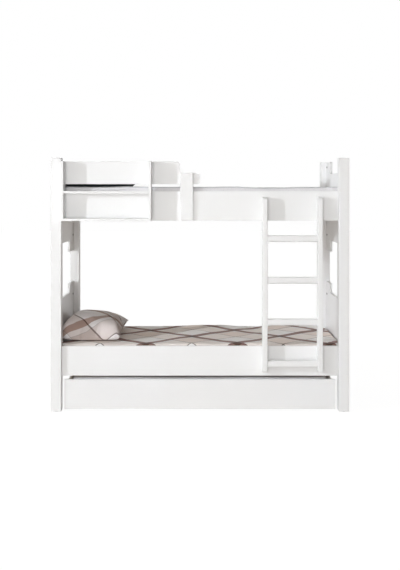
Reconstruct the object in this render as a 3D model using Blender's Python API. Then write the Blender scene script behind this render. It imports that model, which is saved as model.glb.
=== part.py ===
"""Bunk bed with a trundle.

Lacquered boards hang between four square posts. A boxed shelf, a guard board
and an upright ladder are fixed to the front of the upper bunk, and a wheeled
trundle bed rolls out from under the lower one.

Metres, +Z up. The bed's length runs along X, its front faces -Y, and it
stands on Z = 0.
"""

import math

import bmesh
import bpy
from mathutils import Vector

# Frame of the bed: four posts and the boards between them.
BED_LENGTH = 2.000
BED_DEPTH = 1.000
POST_HEIGHT = 1.700
POST_SIDE = 0.070
POST_ROUNDING = 0.003
BOARD = 0.018
EDGE_ROUNDING = 0.0015
TOUCH = 0.0003

# Nail-on glides under the posts.
GLIDE_RADIUS = 0.022
GLIDE_HEIGHT = 0.003

# Long rails, set back from the faces of the posts.
RAIL_RECESS = 0.030
RAIL_HEIGHT = 0.200

# End panels, stepped where they meet the posts, with a window between them.
PANEL_INSET = 0.012
PANEL_TAB = 0.220
PANEL_CORNER = 0.016
PANEL_TOP_DROP = 0.004
PANEL_TOP_STEP = 0.090
LOWER_PANEL_HEIGHT = 0.555
WINDOW_HEIGHT = 0.237
WINDOW_TOP_STEP = 0.083
WINDOW_BOTTOM_STEP = 0.068

# Ledgers and roll-out slat bases that carry the mattresses.
LEDGER_WIDTH = 0.020
LEDGER_HEIGHT = 0.030
LEDGER_RISE = 0.014
SLAT_COUNT = 13
SLAT_WIDTH = 0.070
SLAT_THICKNESS = 0.018
SLAT_END_GAP = 0.003
SLAT_POST_GAP = 0.010
TAPE_WIDTH = 0.035
TAPE_THICKNESS = 0.002
TAPE_SPREAD = 0.560
TAPE_STITCH = 0.0006

# Guard board at the head of the upper bunk, with the upright that stiffens it.
GUARD_TOP_DROP = 0.0233
GUARD_GAP = 0.046
GUARD_HEIGHT = 0.153
GUARD_LOW_HEIGHT = 0.0765
GUARD_PAST_SHELF = 0.1867
GUARD_LOW_LENGTH = 0.137
GUARD_CORNER = 0.018
GUARD_UPRIGHT_OFFSET = 0.005
GUARD_UPRIGHT_WIDTH = 0.087
UPRIGHT_ROUNDING = 0.004

# Open shelf box on the front of the upper rail.
SHELF_FROM_POST = 0.007
SHELF_LENGTH = 0.5993
SHELF_DEPTH = 0.105
SHELF_HEIGHT = 0.398

# Ladder, screwed to both front rails from behind.
LADDER_WIDTH = 0.404
LADDER_FROM_POST = 0.110
LADDER_BOTTOM_LIFT = 0.034
LADDER_TOP_DROP = 0.041
LADDER_STILE_WIDTH = 0.035
LADDER_STILE_DEPTH = 0.065
LADDER_STILE_ROUNDING = 0.004
LADDER_TOP_CORNER = 0.022
LADDER_BOTTOM_CORNER = 0.008
RUNG_COUNT = 4
RUNG_HEIGHT = 0.045
RUNG_DEPTH = 0.028
RUNG_ROUNDING = 0.010
RUNG_RECESS = 0.005
BOTTOM_RUNG_LIFT = 0.089
TOP_RUNG_DROP = 0.118
TENON_HEIGHT = 0.026
TENON_DEPTH = 0.014
TENON_LENGTH = 0.016
TENON_ROUNDING = 0.006

# Screws that hold the ladder.
SCREW_LIFT = 0.130
SCREW_RADIUS = 0.003
SCREW_LENGTH = 0.055
SCREW_HEAD_RADIUS = 0.006
SCREW_HEAD_DEPTH = 0.004
SCREW_POINT = 0.004
SCREW_SINK = 0.001
CUT_OVERRUN = 0.002

# Mattresses of the two bunks.
MATTRESS_END_GAP = 0.006
MATTRESS_SIDE_GAP = 0.002
UPPER_MATTRESS_THICKNESS = 0.1695
LOWER_MATTRESS_THICKNESS = 0.155
MATTRESS_POST_GAP = 0.006
MATTRESS_EDGE = 0.026
MATTRESS_DRAW_IN = 0.004
MATTRESS_CROWN = 0.004
MATTRESS_SHOULDER = 0.078
MATTRESS_SHOULDER_DROP = 0.0013

# Pillows, each lying across the head of its bunk.
LOWER_PILLOW_WIDTH = 0.425
LOWER_PILLOW_HEIGHT = 0.166
LOWER_PILLOW_SIDE_GAP = 0.105
LOWER_PILLOW_END_GAP = 0.008
UPPER_PILLOW_WIDTH = 0.490
UPPER_PILLOW_HEIGHT = 0.130
UPPER_PILLOW_SIDE_GAP = 0.110
UPPER_PILLOW_END_GAP = 0.012
PILLOW_FORWARD = 0.020
PILLOW_SQUARENESS = 4
PILLOW_SEAM_SHARE = 0.42
PILLOW_DRAW_IN_SHARE = 0.045
PILLOW_FLAT_SHARE = 0.66

# Trundle: a box on four fixed wheels.
TRUNDLE_SIDE_GAP = 0.018
TRUNDLE_RECESS = 0.022
TRUNDLE_RISE = 0.015
TRUNDLE_HEIGHT = 0.200
TRUNDLE_TOP_GAP = 0.023
TRUNDLE_BACK_GAP = 0.078
TRUNDLE_FRONT_OVERLAP = 0.025
TRUNDLE_BOX_LIFT = 0.015
TRUNDLE_BASE_THICKNESS = 0.016
TRUNDLE_MATTRESS_GAP = 0.007
TRUNDLE_MATTRESS_PROUD = 0.008
TRUNDLE_MATTRESS_CORNER = 0.030

# Wheels in pressed brackets under the trundle's base.
WHEEL_RADIUS = 0.025
WHEEL_WIDTH = 0.020
WHEEL_SHOULDER = 0.003
WHEEL_WEB = 0.004
WHEEL_RIM = 0.006
HUB_RADIUS = 0.0075
HUB_SIDE_GAP = 0.0008
AXLE_RADIUS = 0.003
AXLE_CLEARANCE = 0.0003
RIVET_RADIUS = 0.0055
RIVET_HEAD = 0.0015
BRACKET_SHEET = 0.002
BRACKET_LENGTH = 0.062
BRACKET_WIDTH = 0.056
BRACKET_CORNER = 0.006
CHEEK_TOP_LENGTH = 0.048
CHEEK_NOSE = 0.009
WHEEL_TOP_GAP = 0.010
WHEEL_FROM_SIDE = 0.110
WHEEL_FROM_FRONT = 0.120
WHEEL_FROM_BACK = 0.100

# How finely round shapes are divided.
BOARD_SEGMENTS = 2
HIDDEN_SEGMENTS = 1
ARC_STEPS = 5
ROUND_STEPS = 24
SMALL_ROUND_STEPS = 12
SOFT_CORNER_STEPS = 7
SOFT_EDGE_STEPS = 4
PILLOW_ROWS = 18
PILLOW_COLUMNS = 14
SHARP_CORNER_DEGREES = 40
SHARP_SHADING_DEGREES = 35
MERGE = 0.00001

# Places that follow from the sizes above.
REACH = max(SHELF_DEPTH, LADDER_STILE_DEPTH) - RAIL_RECESS
POST_FRONT = (REACH - BED_DEPTH) / 2
POST_BACK = POST_FRONT + BED_DEPTH
POST_FOOT = GLIDE_HEIGHT + TOUCH
POST_TOP = POST_FOOT + POST_HEIGHT
POST_OUTER = BED_LENGTH / 2
POST_INNER = POST_OUTER - POST_SIDE
BED_MIDDLE = (POST_FRONT + POST_BACK) / 2
RAIL_FRONT = POST_FRONT + RAIL_RECESS
RAIL_INSIDE = RAIL_FRONT + BOARD
REAR_RAIL_INSIDE = POST_BACK - RAIL_RECESS - BOARD
PANEL_INSIDE = POST_OUTER - PANEL_INSET - BOARD
TRUNDLE_TOP = TRUNDLE_RISE + TRUNDLE_HEIGHT
GUARD_FOOT = POST_TOP - GUARD_TOP_DROP - GUARD_HEIGHT
LOWER_RAIL_RISE = TRUNDLE_TOP + TRUNDLE_TOP_GAP
UPPER_RAIL_RISE = GUARD_FOOT - GUARD_GAP - RAIL_HEIGHT
WINDOW_BOTTOM = LOWER_RAIL_RISE + LOWER_PANEL_HEIGHT
WINDOW_TOP = WINDOW_BOTTOM + WINDOW_HEIGHT


def clear_scene():
    """Remove whatever the start-up file holds."""
    for obj in list(bpy.data.objects):
        bpy.data.objects.remove(obj, do_unlink=True)


def finish(name, colour, roughness, metallic=0.0):
    """A plain Principled material."""
    material = bpy.data.materials.new(name)
    material.use_nodes = True
    shader = material.node_tree.nodes["Principled BSDF"]
    shader.inputs["Base Color"].default_value = (*colour, 1.0)
    shader.inputs["Roughness"].default_value = roughness
    shader.inputs["Metallic"].default_value = metallic
    return material


def add_object(name, mesh, material, place, parent=None):
    """Link an object at a place in the world, under its parent if it has one."""
    obj = bpy.data.objects.new(name, mesh)
    bpy.context.scene.collection.objects.link(obj)
    mesh.materials.clear()
    mesh.materials.append(material)
    obj.location = Vector(place)
    if parent is not None:
        obj.parent = parent
        obj.location = Vector(place) - parent.location
    return obj


def mesh_from(name, bm):
    """Turn a bmesh into a mesh whose faces point outwards."""
    bmesh.ops.recalc_face_normals(bm, faces=bm.faces)
    mesh = bpy.data.meshes.new(name)
    bm.to_mesh(mesh)
    bm.free()
    return mesh


def round_edges(obj, radius, segments):
    """Round the sharp edges of a board."""
    bevel = obj.modifiers.new("rounded edges", "BEVEL")
    bevel.width = radius
    bevel.segments = segments
    bevel.limit_method = "ANGLE"
    bevel.angle_limit = math.radians(SHARP_CORNER_DEGREES)
    bevel.use_clamp_overlap = True


def bake(obj):
    """Replace an object's mesh by what its modifiers make of it."""
    bpy.context.view_layer.update()
    graph = bpy.context.evaluated_depsgraph_get()
    mesh = bpy.data.meshes.new_from_object(obj.evaluated_get(graph))
    obj.modifiers.clear()
    obj.data = mesh


def combine(target, tool, operation):
    """Cut a tool from a target, or join it on, and remove the tool."""
    boolean = target.modifiers.new(operation.lower(), "BOOLEAN")
    boolean.operation = operation
    boolean.solver = "EXACT"
    boolean.object = tool
    bake(target)
    bpy.data.objects.remove(tool, do_unlink=True)


def gather(tools):
    """Join cutters that lie clear of each other, so that one cut takes them all."""
    bm = bmesh.new()
    for tool in tools:
        start = len(bm.verts)
        bm.from_mesh(tool.data)
        bm.verts.ensure_lookup_table()
        bmesh.ops.translate(bm, vec=tool.location, verts=bm.verts[start:])
    first = tools[0]
    joined = add_object("cutters", mesh_from("cutters", bm), first.data.materials[0], (0, 0, 0))
    for tool in tools:
        bpy.data.objects.remove(tool, do_unlink=True)
    return joined


def box_mesh(name, size):
    """A cuboid centred on its origin."""
    bm = bmesh.new()
    bmesh.ops.create_cube(bm, size=1.0)
    bmesh.ops.scale(bm, vec=size, verts=bm.verts)
    return mesh_from(name, bm)


def board(name, low, high, material, parent=None, rounding=EDGE_ROUNDING, segments=BOARD_SEGMENTS):
    """A cuboid board between two corners, with rounded edges."""
    low, high = Vector(low), Vector(high)
    obj = add_object(name, box_mesh(name, high - low), material, (low + high) / 2, parent)
    round_edges(obj, rounding, segments)
    return obj


def rounded_outline(corners, steps=ARC_STEPS):
    """Points of an outline given as (u, v, corner radius), with each corner as an arc."""
    points = []
    for index, (u, v, radius) in enumerate(corners):
        corner = Vector((u, v))
        before = (Vector(corners[index - 1][:2]) - corner).normalized()
        after = (Vector(corners[(index + 1) % len(corners)][:2]) - corner).normalized()
        if radius == 0:
            points.append(corner)
            continue
        half_angle = before.angle(after) / 2
        reach = radius / math.tan(half_angle)
        centre = corner + (before + after).normalized() * radius / math.sin(half_angle)
        start = corner + before * reach - centre
        end = corner + after * reach - centre
        turn = start.angle_signed(end)
        for step in range(steps + 1):
            angle = -turn * step / steps
            spoke = Vector((
                start.x * math.cos(angle) - start.y * math.sin(angle),
                start.x * math.sin(angle) + start.y * math.cos(angle),
            ))
            points.append(centre + spoke)
    return points


def extruded(name, outline, along, thickness, material, place):
    """A board cut to an outline. It lies in YZ and grows along X, or in XZ and grows along Y."""
    bm = bmesh.new()
    if along == "X":
        near = [bm.verts.new((0, u, v)) for u, v in outline]
        growth = Vector((thickness, 0, 0))
    else:
        near = [bm.verts.new((u, 0, v)) for u, v in outline]
        growth = Vector((0, thickness, 0))
    face = bm.faces.new(near)
    grown = bmesh.ops.extrude_face_region(bm, geom=[face], use_keep_orig=True)
    far = [item for item in grown["geom"] if isinstance(item, bmesh.types.BMVert)]
    bmesh.ops.translate(bm, vec=growth, verts=far)
    return add_object(name, mesh_from(name, bm), material, place)


def lofted(name, rings, material, place, parent=None):
    """A closed body through rings of equally many points, capped at both ends."""
    bm = bmesh.new()
    loops = [[bm.verts.new(point) for point in ring] for ring in rings]
    for lower, upper in zip(loops, loops[1:]):
        for index, start in enumerate(lower):
            following = (index + 1) % len(lower)
            bm.faces.new((start, lower[following], upper[following], upper[index]))
    bm.faces.new(loops[0])
    bm.faces.new(loops[-1])
    return add_object(name, mesh_from(name, bm), material, place, parent)


def turned(name, profile, along, steps, material, place, parent=None, hollow=False):
    """Spin a profile of (radius, position) points about X, Y or Z through its origin."""
    bm = bmesh.new()
    axis = {"X": Vector((1, 0, 0)), "Y": Vector((0, 1, 0)), "Z": Vector((0, 0, 1))}[along]
    outward = Vector((1, 0, 0)) if along == "Z" else Vector((0, 0, -1))
    verts = [bm.verts.new(outward * radius + axis * position) for radius, position in profile]
    edges = [bm.edges.new(pair) for pair in zip(verts, verts[1:])]
    if hollow:
        edges.append(bm.edges.new((verts[-1], verts[0])))
    bmesh.ops.spin(
        bm,
        geom=verts + edges,
        axis=axis,
        cent=(0, 0, 0),
        angle=math.tau,
        steps=steps,
        use_merge=True,
    )
    bmesh.ops.remove_doubles(bm, verts=bm.verts, dist=MERGE)
    mesh = mesh_from(name, bm)
    mesh.shade_smooth()
    mesh.set_sharp_from_angle(angle=math.radians(SHARP_SHADING_DEGREES))
    return add_object(name, mesh, material, place, parent)


def rounded_rectangle(half_u, half_v, radius, steps):
    """Outline of a rectangle with round corners, centred on zero."""
    corners = [
        (-half_u, -half_v, radius),
        (half_u, -half_v, radius),
        (half_u, half_v, radius),
        (-half_u, half_v, radius),
    ]
    return rounded_outline(corners, steps)


def make_posts(lacquer, plastic):
    """Four square posts, each on a round glide."""
    half = POST_SIDE / 2
    glide = [(0, 0), (GLIDE_RADIUS, 0), (GLIDE_RADIUS, GLIDE_HEIGHT), (0, GLIDE_HEIGHT)]
    for side, centre_x in (("left", -POST_OUTER + half), ("right", POST_OUTER - half)):
        for end, centre_y in (("front", POST_FRONT + half), ("rear", POST_BACK - half)):
            board(
                f"post_{end}_{side}",
                (centre_x - half, centre_y - half, POST_FOOT),
                (centre_x + half, centre_y + half, POST_TOP),
                lacquer,
                rounding=POST_ROUNDING,
            )
            place = (centre_x, centre_y, 0)
            turned(f"glide_{end}_{side}", glide, "Z", ROUND_STEPS, plastic, place)


def rail_y(front):
    """The two faces of a rail, front one first."""
    if front:
        return RAIL_FRONT, RAIL_INSIDE
    return REAR_RAIL_INSIDE, POST_BACK - RAIL_RECESS


def make_rails(lacquer):
    """Front and rear rails of both bunks. Returns the two front ones."""
    rails = {}
    for level, rise in (("lower", LOWER_RAIL_RISE), ("upper", UPPER_RAIL_RISE)):
        for end in ("front", "rear"):
            near, far = rail_y(end == "front")
            rails[level, end] = board(
                f"{level}_{end}_rail",
                (-POST_INNER + TOUCH, near, rise),
                (POST_INNER - TOUCH, far, rise + RAIL_HEIGHT),
                lacquer,
            )
    return rails["lower", "front"], rails["upper", "front"]


def make_end_panels(lacquer):
    """Upper and lower end panels. Their tabs meet the posts, and between them is a window."""
    front_edge = POST_SIDE + TOUCH
    back_edge = BED_DEPTH - POST_SIDE - TOUCH
    front_step = front_edge + PANEL_TAB
    back_step = back_edge - PANEL_TAB
    top = POST_TOP - PANEL_TOP_DROP
    middle_top = top - PANEL_TOP_STEP
    upper = [
        (front_edge, WINDOW_TOP, 0),
        (front_step, WINDOW_TOP, PANEL_CORNER),
        (front_step, WINDOW_TOP + WINDOW_TOP_STEP, PANEL_CORNER),
        (back_step, WINDOW_TOP + WINDOW_TOP_STEP, PANEL_CORNER),
        (back_step, WINDOW_TOP, PANEL_CORNER),
        (back_edge, WINDOW_TOP, 0),
        (back_edge, top, 0),
        (back_step, top, PANEL_CORNER),
        (back_step, middle_top, PANEL_CORNER),
        (front_step, middle_top, PANEL_CORNER),
        (front_step, top, PANEL_CORNER),
        (front_edge, top, 0),
    ]
    lower = [
        (front_edge, LOWER_RAIL_RISE, 0),
        (back_edge, LOWER_RAIL_RISE, 0),
        (back_edge, WINDOW_BOTTOM, 0),
        (back_step, WINDOW_BOTTOM, PANEL_CORNER),
        (back_step, WINDOW_BOTTOM - WINDOW_BOTTOM_STEP, PANEL_CORNER),
        (front_step, WINDOW_BOTTOM - WINDOW_BOTTOM_STEP, PANEL_CORNER),
        (front_step, WINDOW_BOTTOM, PANEL_CORNER),
        (front_edge, WINDOW_BOTTOM, 0),
    ]
    for side, start_x in (("left", -PANEL_INSIDE - BOARD), ("right", PANEL_INSIDE)):
        for level, corners in (("upper", upper), ("lower", lower)):
            panel = extruded(
                f"{level}_end_panel_{side}",
                rounded_outline(corners),
                "X",
                BOARD,
                lacquer,
                (start_x, POST_FRONT, 0),
            )
            round_edges(panel, EDGE_ROUNDING, BOARD_SEGMENTS)


def make_ledgers(pine):
    """Battens on the insides of the rails, which the slats lie on."""
    for level, rise in (("lower", LOWER_RAIL_RISE), ("upper", UPPER_RAIL_RISE)):
        foot = rise + LEDGER_RISE
        front = RAIL_INSIDE + TOUCH
        rear = REAR_RAIL_INSIDE - TOUCH
        for end, near in (("front", front), ("rear", rear - LEDGER_WIDTH)):
            board(
                f"{level}_ledger_{end}",
                (-POST_INNER + SLAT_POST_GAP, near, foot),
                (POST_INNER - SLAT_POST_GAP, near + LEDGER_WIDTH, foot + LEDGER_HEIGHT),
                pine,
                segments=HIDDEN_SEGMENTS,
            )


def slat_top(rail_rise):
    """Height of the top of the slats in a bunk."""
    return rail_rise + LEDGER_RISE + LEDGER_HEIGHT + TOUCH + SLAT_THICKNESS


def make_slat_base(name, rail_rise, pine):
    """Slats held at even steps by two tapes, one piece that rolls out on the ledgers."""
    half_run = POST_INNER - SLAT_POST_GAP - SLAT_WIDTH / 2
    slat_length = REAR_RAIL_INSIDE - RAIL_INSIDE - 2 * SLAT_END_GAP
    underside = slat_top(rail_rise) - SLAT_THICKNESS
    tapes = bmesh.new()
    tape_height = TAPE_THICKNESS + TAPE_STITCH
    tape_length = 2 * half_run + SLAT_WIDTH
    for side in (-1, 1):
        added = bmesh.ops.create_cube(tapes, size=1.0)["verts"]
        bmesh.ops.scale(tapes, vec=(tape_length, TAPE_WIDTH, tape_height), verts=added)
        lift = TAPE_STITCH - tape_height / 2
        bmesh.ops.translate(tapes, vec=(0, side * TAPE_SPREAD / 2, lift), verts=added)
    slats = bmesh.new()
    for index in range(SLAT_COUNT):
        offset = -half_run + 2 * half_run * index / (SLAT_COUNT - 1)
        added = bmesh.ops.create_cube(slats, size=1.0)["verts"]
        bmesh.ops.scale(slats, vec=(SLAT_WIDTH, slat_length, SLAT_THICKNESS), verts=added)
        bmesh.ops.translate(slats, vec=(offset, 0, SLAT_THICKNESS / 2), verts=added)
    place = (0, BED_MIDDLE, underside)
    base = add_object(name, mesh_from(name, tapes), pine, place)
    tool = add_object("slats", mesh_from("slats", slats), pine, place)
    combine(base, tool, "UNION")


def make_guard(lacquer):
    """Guard board above the rail, and the upright that ties the two together."""
    high_end = SHELF_FROM_POST + SHELF_LENGTH + GUARD_PAST_SHELF
    end = high_end + GUARD_LOW_LENGTH
    corners = [
        (TOUCH, 0, 0),
        (end, 0, GUARD_CORNER),
        (end, GUARD_LOW_HEIGHT, GUARD_CORNER),
        (high_end, GUARD_LOW_HEIGHT, GUARD_CORNER),
        (high_end, GUARD_HEIGHT, GUARD_CORNER),
        (TOUCH, GUARD_HEIGHT, 0),
    ]
    guard = extruded(
        "guard_board",
        rounded_outline(corners),
        "Y",
        BOARD,
        lacquer,
        (-POST_INNER, RAIL_FRONT, GUARD_FOOT),
    )
    round_edges(guard, EDGE_ROUNDING, BOARD_SEGMENTS)
    start = -POST_INNER + high_end + GUARD_UPRIGHT_OFFSET
    board(
        "guard_upright",
        (start, RAIL_FRONT - TOUCH - BOARD, UPPER_RAIL_RISE),
        (start + GUARD_UPRIGHT_WIDTH, RAIL_FRONT - TOUCH, GUARD_FOOT + GUARD_LOW_HEIGHT),
        lacquer,
        rounding=UPRIGHT_ROUNDING,
    )


def make_shelf(lacquer):
    """Two sides and two shelves in front of the rail, open above."""
    back = RAIL_FRONT - TOUCH
    front = RAIL_FRONT - SHELF_DEPTH
    left = -POST_INNER + SHELF_FROM_POST
    right = left + SHELF_LENGTH
    for side, start in (("left", left), ("right", right - BOARD)):
        board(
            f"shelf_side_{side}",
            (start, front, UPPER_RAIL_RISE),
            (start + BOARD, back, UPPER_RAIL_RISE + SHELF_HEIGHT),
            lacquer,
        )
    middle_top = UPPER_RAIL_RISE + RAIL_HEIGHT
    for name, foot in (("shelf_bottom", UPPER_RAIL_RISE), ("shelf_middle", middle_top - BOARD)):
        board(
            name,
            (left + BOARD + TOUCH, front, foot),
            (right - BOARD - TOUCH, back, foot + BOARD),
            lacquer,
        )


def rung_heights():
    """Middle heights of the rungs, evenly spaced between the lowest and the highest."""
    lowest = LOWER_RAIL_RISE + BOTTOM_RUNG_LIFT
    highest = UPPER_RAIL_RISE - TOP_RUNG_DROP
    return [lowest + (highest - lowest) * index / (RUNG_COUNT - 1) for index in range(RUNG_COUNT)]


def make_rung(name, centre, length, lacquer):
    """A bar with rounded edges and a smaller tenon at each end."""
    bar = rounded_rectangle(RUNG_DEPTH / 2, RUNG_HEIGHT / 2, RUNG_ROUNDING, ARC_STEPS)
    tenon = tenon_outline(0)
    half = length / 2
    sections = [
        (tenon, -half - TENON_LENGTH),
        (tenon, -half),
        (bar, -half),
        (bar, half),
        (tenon, half),
        (tenon, half + TENON_LENGTH),
    ]
    rings = [[(x, u, v) for u, v in section] for section, x in sections]
    lofted(name, rings, lacquer, centre)


def tenon_outline(clearance):
    """Section of a tenon, or of the pocket for it, with its corners limited by its thinner side."""
    half_depth = TENON_DEPTH / 2
    corner = min(TENON_ROUNDING, half_depth - EDGE_ROUNDING / 2)
    return rounded_rectangle(
        half_depth + clearance, TENON_HEIGHT / 2 + clearance, corner + clearance, ARC_STEPS
    )


def mortise_cutter(centre, lacquer):
    """What cuts the pocket for a rung's tenon, centred on the stile's inner face."""
    reach = TENON_LENGTH + TOUCH
    start = centre - Vector((reach, 0, 0))
    return extruded("mortise", tenon_outline(TOUCH), "X", 2 * reach, lacquer, start)


def screw_profile(clearance, overrun):
    """Half section of a flat-headed screw, from its head at zero to its point, or of the hole for it."""
    neck = SCREW_RADIUS + clearance
    head = SCREW_HEAD_RADIUS + clearance
    top = [(0, overrun), (head, overrun)] if overrun else [(0, 0)]
    return top + [
        (head, 0),
        (neck, -SCREW_HEAD_DEPTH),
        (neck, -SCREW_LENGTH + SCREW_POINT),
        (0, -SCREW_LENGTH - clearance),
    ]


def make_ladder(lacquer, steel, lower_rail, upper_rail):
    """Two stiles, the rungs tenoned between them, and four screws through the rails."""
    right = POST_INNER - LADDER_FROM_POST
    left = right - LADDER_WIDTH
    foot = LOWER_RAIL_RISE + LADDER_BOTTOM_LIFT
    top = UPPER_RAIL_RISE + RAIL_HEIGHT - LADDER_TOP_DROP
    front = RAIL_FRONT - LADDER_STILE_DEPTH
    depth = LADDER_STILE_DEPTH - TOUCH
    corners = [
        (0, 0, LADDER_BOTTOM_CORNER),
        (depth, 0, 0),
        (depth, top - foot, 0),
        (0, top - foot, LADDER_TOP_CORNER),
    ]
    rung_y = front + RUNG_RECESS + RUNG_DEPTH / 2
    screw_heights = (LOWER_RAIL_RISE + SCREW_LIFT, UPPER_RAIL_RISE + SCREW_LIFT)
    rails = (lower_rail, upper_rail)
    head_y = RAIL_INSIDE - SCREW_SINK
    for side, start, inner in (
        ("left", left, left + LADDER_STILE_WIDTH),
        ("right", right - LADDER_STILE_WIDTH, right - LADDER_STILE_WIDTH),
    ):
        stile = extruded(
            f"ladder_stile_{side}",
            rounded_outline(corners),
            "X",
            LADDER_STILE_WIDTH,
            lacquer,
            (start, front, foot),
        )
        round_edges(stile, LADDER_STILE_ROUNDING, BOARD_SEGMENTS)
        bake(stile)
        cutters = [mortise_cutter(Vector((inner, rung_y, height)), lacquer) for height in rung_heights()]
        for level, height, rail in zip(("lower", "upper"), screw_heights, rails):
            place = (start + LADDER_STILE_WIDTH / 2, head_y, height)
            turned(
                f"ladder_screw_{level}_{side}",
                screw_profile(0, 0),
                "Y",
                SMALL_ROUND_STEPS,
                steel,
                place,
            )
            hole = screw_profile(TOUCH, CUT_OVERRUN)
            combine(rail, turned("screw hole", hole, "Y", SMALL_ROUND_STEPS, steel, place), "DIFFERENCE")
            cutters.append(turned("screw hole", hole, "Y", SMALL_ROUND_STEPS, steel, place))
        combine(stile, gather(cutters), "DIFFERENCE")
    rung_length = LADDER_WIDTH - 2 * LADDER_STILE_WIDTH - 2 * TOUCH
    for number, height in enumerate(rung_heights(), start=1):
        centre = ((left + right) / 2, rung_y, height)
        make_rung(f"ladder_rung_{number}", centre, rung_length, lacquer)


def soft_corner():
    """Corner radius at which a mattress clears the inner edges of the posts."""
    past_x = max(PANEL_INSIDE - MATTRESS_END_GAP - POST_INNER, 0)
    past_y = max(POST_SIDE - RAIL_RECESS - BOARD - MATTRESS_SIDE_GAP, 0)
    return past_x + past_y + math.sqrt(2 * past_x * past_y) + MATTRESS_POST_GAP


def make_mattress(name, half_x, half_y, thickness, corner, middle, fabric, parent=None):
    """A block with rounded edges, sides drawn in at mid height and a slightly crowned top."""
    edge = MATTRESS_EDGE
    shoulder = thickness - MATTRESS_CROWN
    turns = [math.pi / 2 * step / SOFT_EDGE_STEPS for step in range(SOFT_EDGE_STEPS + 1)]
    side = [(edge - edge * math.cos(turn), edge - edge * math.sin(turn)) for turn in turns]
    sections = list(reversed(side))
    sections.append((MATTRESS_DRAW_IN, shoulder / 2))
    sections += [(inset, shoulder - height) for inset, height in side]
    sections.append((MATTRESS_SHOULDER, thickness - MATTRESS_SHOULDER_DROP))
    sections.append((half_y / 2, thickness))
    rings = []
    for inset, height in sections:
        radius = max(corner - inset, edge)
        outline = rounded_rectangle(half_x - inset, half_y - inset, radius, SOFT_CORNER_STEPS)
        rings.append([(u, v, height) for u, v in outline])
    lofted(name, rings, fabric, middle, parent)


def mattress_half_width():
    """Half the width of a bunk's mattress, across the bed."""
    return (REAR_RAIL_INSIDE - RAIL_INSIDE) / 2 - MATTRESS_SIDE_GAP


def make_mattresses(quilted, plaid):
    """The mattresses of the two bunks. Returns the heights of their tops."""
    half_x = PANEL_INSIDE - MATTRESS_END_GAP
    half_y = mattress_half_width()
    tops = []
    for name, rise, thickness, fabric in (
        ("lower_mattress", LOWER_RAIL_RISE, LOWER_MATTRESS_THICKNESS, plaid),
        ("upper_mattress", UPPER_RAIL_RISE, UPPER_MATTRESS_THICKNESS, quilted),
    ):
        foot = slat_top(rise) + TOUCH
        middle = (0, BED_MIDDLE, foot)
        make_mattress(name, half_x, half_y, thickness, soft_corner(), middle, fabric)
        tops.append(foot + thickness)
    return tops


def pillow_swell(u, v):
    """How far a pillow has swollen at a point, from 0 at its seam to 1 in the middle."""
    return math.sqrt((1 - u ** PILLOW_SQUARENESS) * (1 - v ** PILLOW_SQUARENESS))


def make_pillow(name, width, height, side_gap, end_gap, rest, fabric):
    """A crowned pillow, drawn in between its corners and flat where it rests."""
    length = 2 * (mattress_half_width() - side_gap)
    seam = height * PILLOW_SEAM_SHARE
    bm = bmesh.new()
    sheets = []
    for top in (True, False):
        rows = []
        for i in range(PILLOW_ROWS + 1):
            row = []
            for j in range(PILLOW_COLUMNS + 1):
                u = math.sin(math.pi * (j / PILLOW_COLUMNS - 1 / 2))
                v = math.sin(math.pi * (i / PILLOW_ROWS - 1 / 2))
                on_seam = i in (0, PILLOW_ROWS) or j in (0, PILLOW_COLUMNS)
                if on_seam and not top:
                    row.append(sheets[0][i][j])
                    continue
                swell = 0.0 if on_seam else pillow_swell(u, v)
                x = u * width / 2 * (1 - PILLOW_DRAW_IN_SHARE * (1 - v * v))
                y = v * length / 2 * (1 - PILLOW_DRAW_IN_SHARE * (1 - u * u))
                if top:
                    z = seam + (height - seam) * swell
                else:
                    z = seam - seam * min(swell / PILLOW_FLAT_SHARE, 1.0)
                row.append(bm.verts.new((x, y, z)))
            rows.append(row)
        sheets.append(rows)
    for rows in sheets:
        for lower, upper in zip(rows, rows[1:]):
            for j in range(PILLOW_COLUMNS):
                bm.faces.new((lower[j], lower[j + 1], upper[j + 1], upper[j]))
    mesh = mesh_from(name, bm)
    mesh.shade_smooth()
    middle_x = -PANEL_INSIDE + end_gap + width / 2
    add_object(name, mesh, fabric, (middle_x, BED_MIDDLE - PILLOW_FORWARD, rest + TOUCH))


def make_trundle_box(lacquer, parent):
    """Front, back, sides and base of the trundle. Returns the middle and half sizes of its inside."""
    front_half = POST_INNER - TRUNDLE_SIDE_GAP
    box_half = front_half - TRUNDLE_FRONT_OVERLAP
    inner_half = box_half - BOARD
    front = POST_FRONT + TRUNDLE_RECESS
    inner_front = front + BOARD
    back = POST_BACK - TRUNDLE_BACK_GAP
    inner_back = back - BOARD
    box_foot = TRUNDLE_RISE + TRUNDLE_BOX_LIFT
    board(
        "trundle_front",
        (-front_half, front, TRUNDLE_RISE),
        (front_half, inner_front, TRUNDLE_TOP),
        lacquer,
        parent,
    )
    for side, start in (("left", -box_half), ("right", inner_half)):
        board(
            f"trundle_side_{side}",
            (start, inner_front + TOUCH, box_foot),
            (start + BOARD, back, TRUNDLE_TOP),
            lacquer,
            parent,
        )
    board(
        "trundle_back",
        (-inner_half + TOUCH, inner_back, box_foot),
        (inner_half - TOUCH, back, TRUNDLE_TOP),
        lacquer,
        parent,
        segments=HIDDEN_SEGMENTS,
    )
    foot = base_underside()
    board(
        "trundle_base",
        (-inner_half + TOUCH, inner_front + TOUCH, foot),
        (inner_half - TOUCH, inner_back - TOUCH, foot + TRUNDLE_BASE_THICKNESS),
        lacquer,
        parent,
        segments=HIDDEN_SEGMENTS,
    )
    return inner_half, inner_front, inner_back


def base_underside():
    """Height of the underside of the trundle's base, above the brackets."""
    return 2 * WHEEL_RADIUS + WHEEL_TOP_GAP + BRACKET_SHEET + TOUCH


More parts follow.
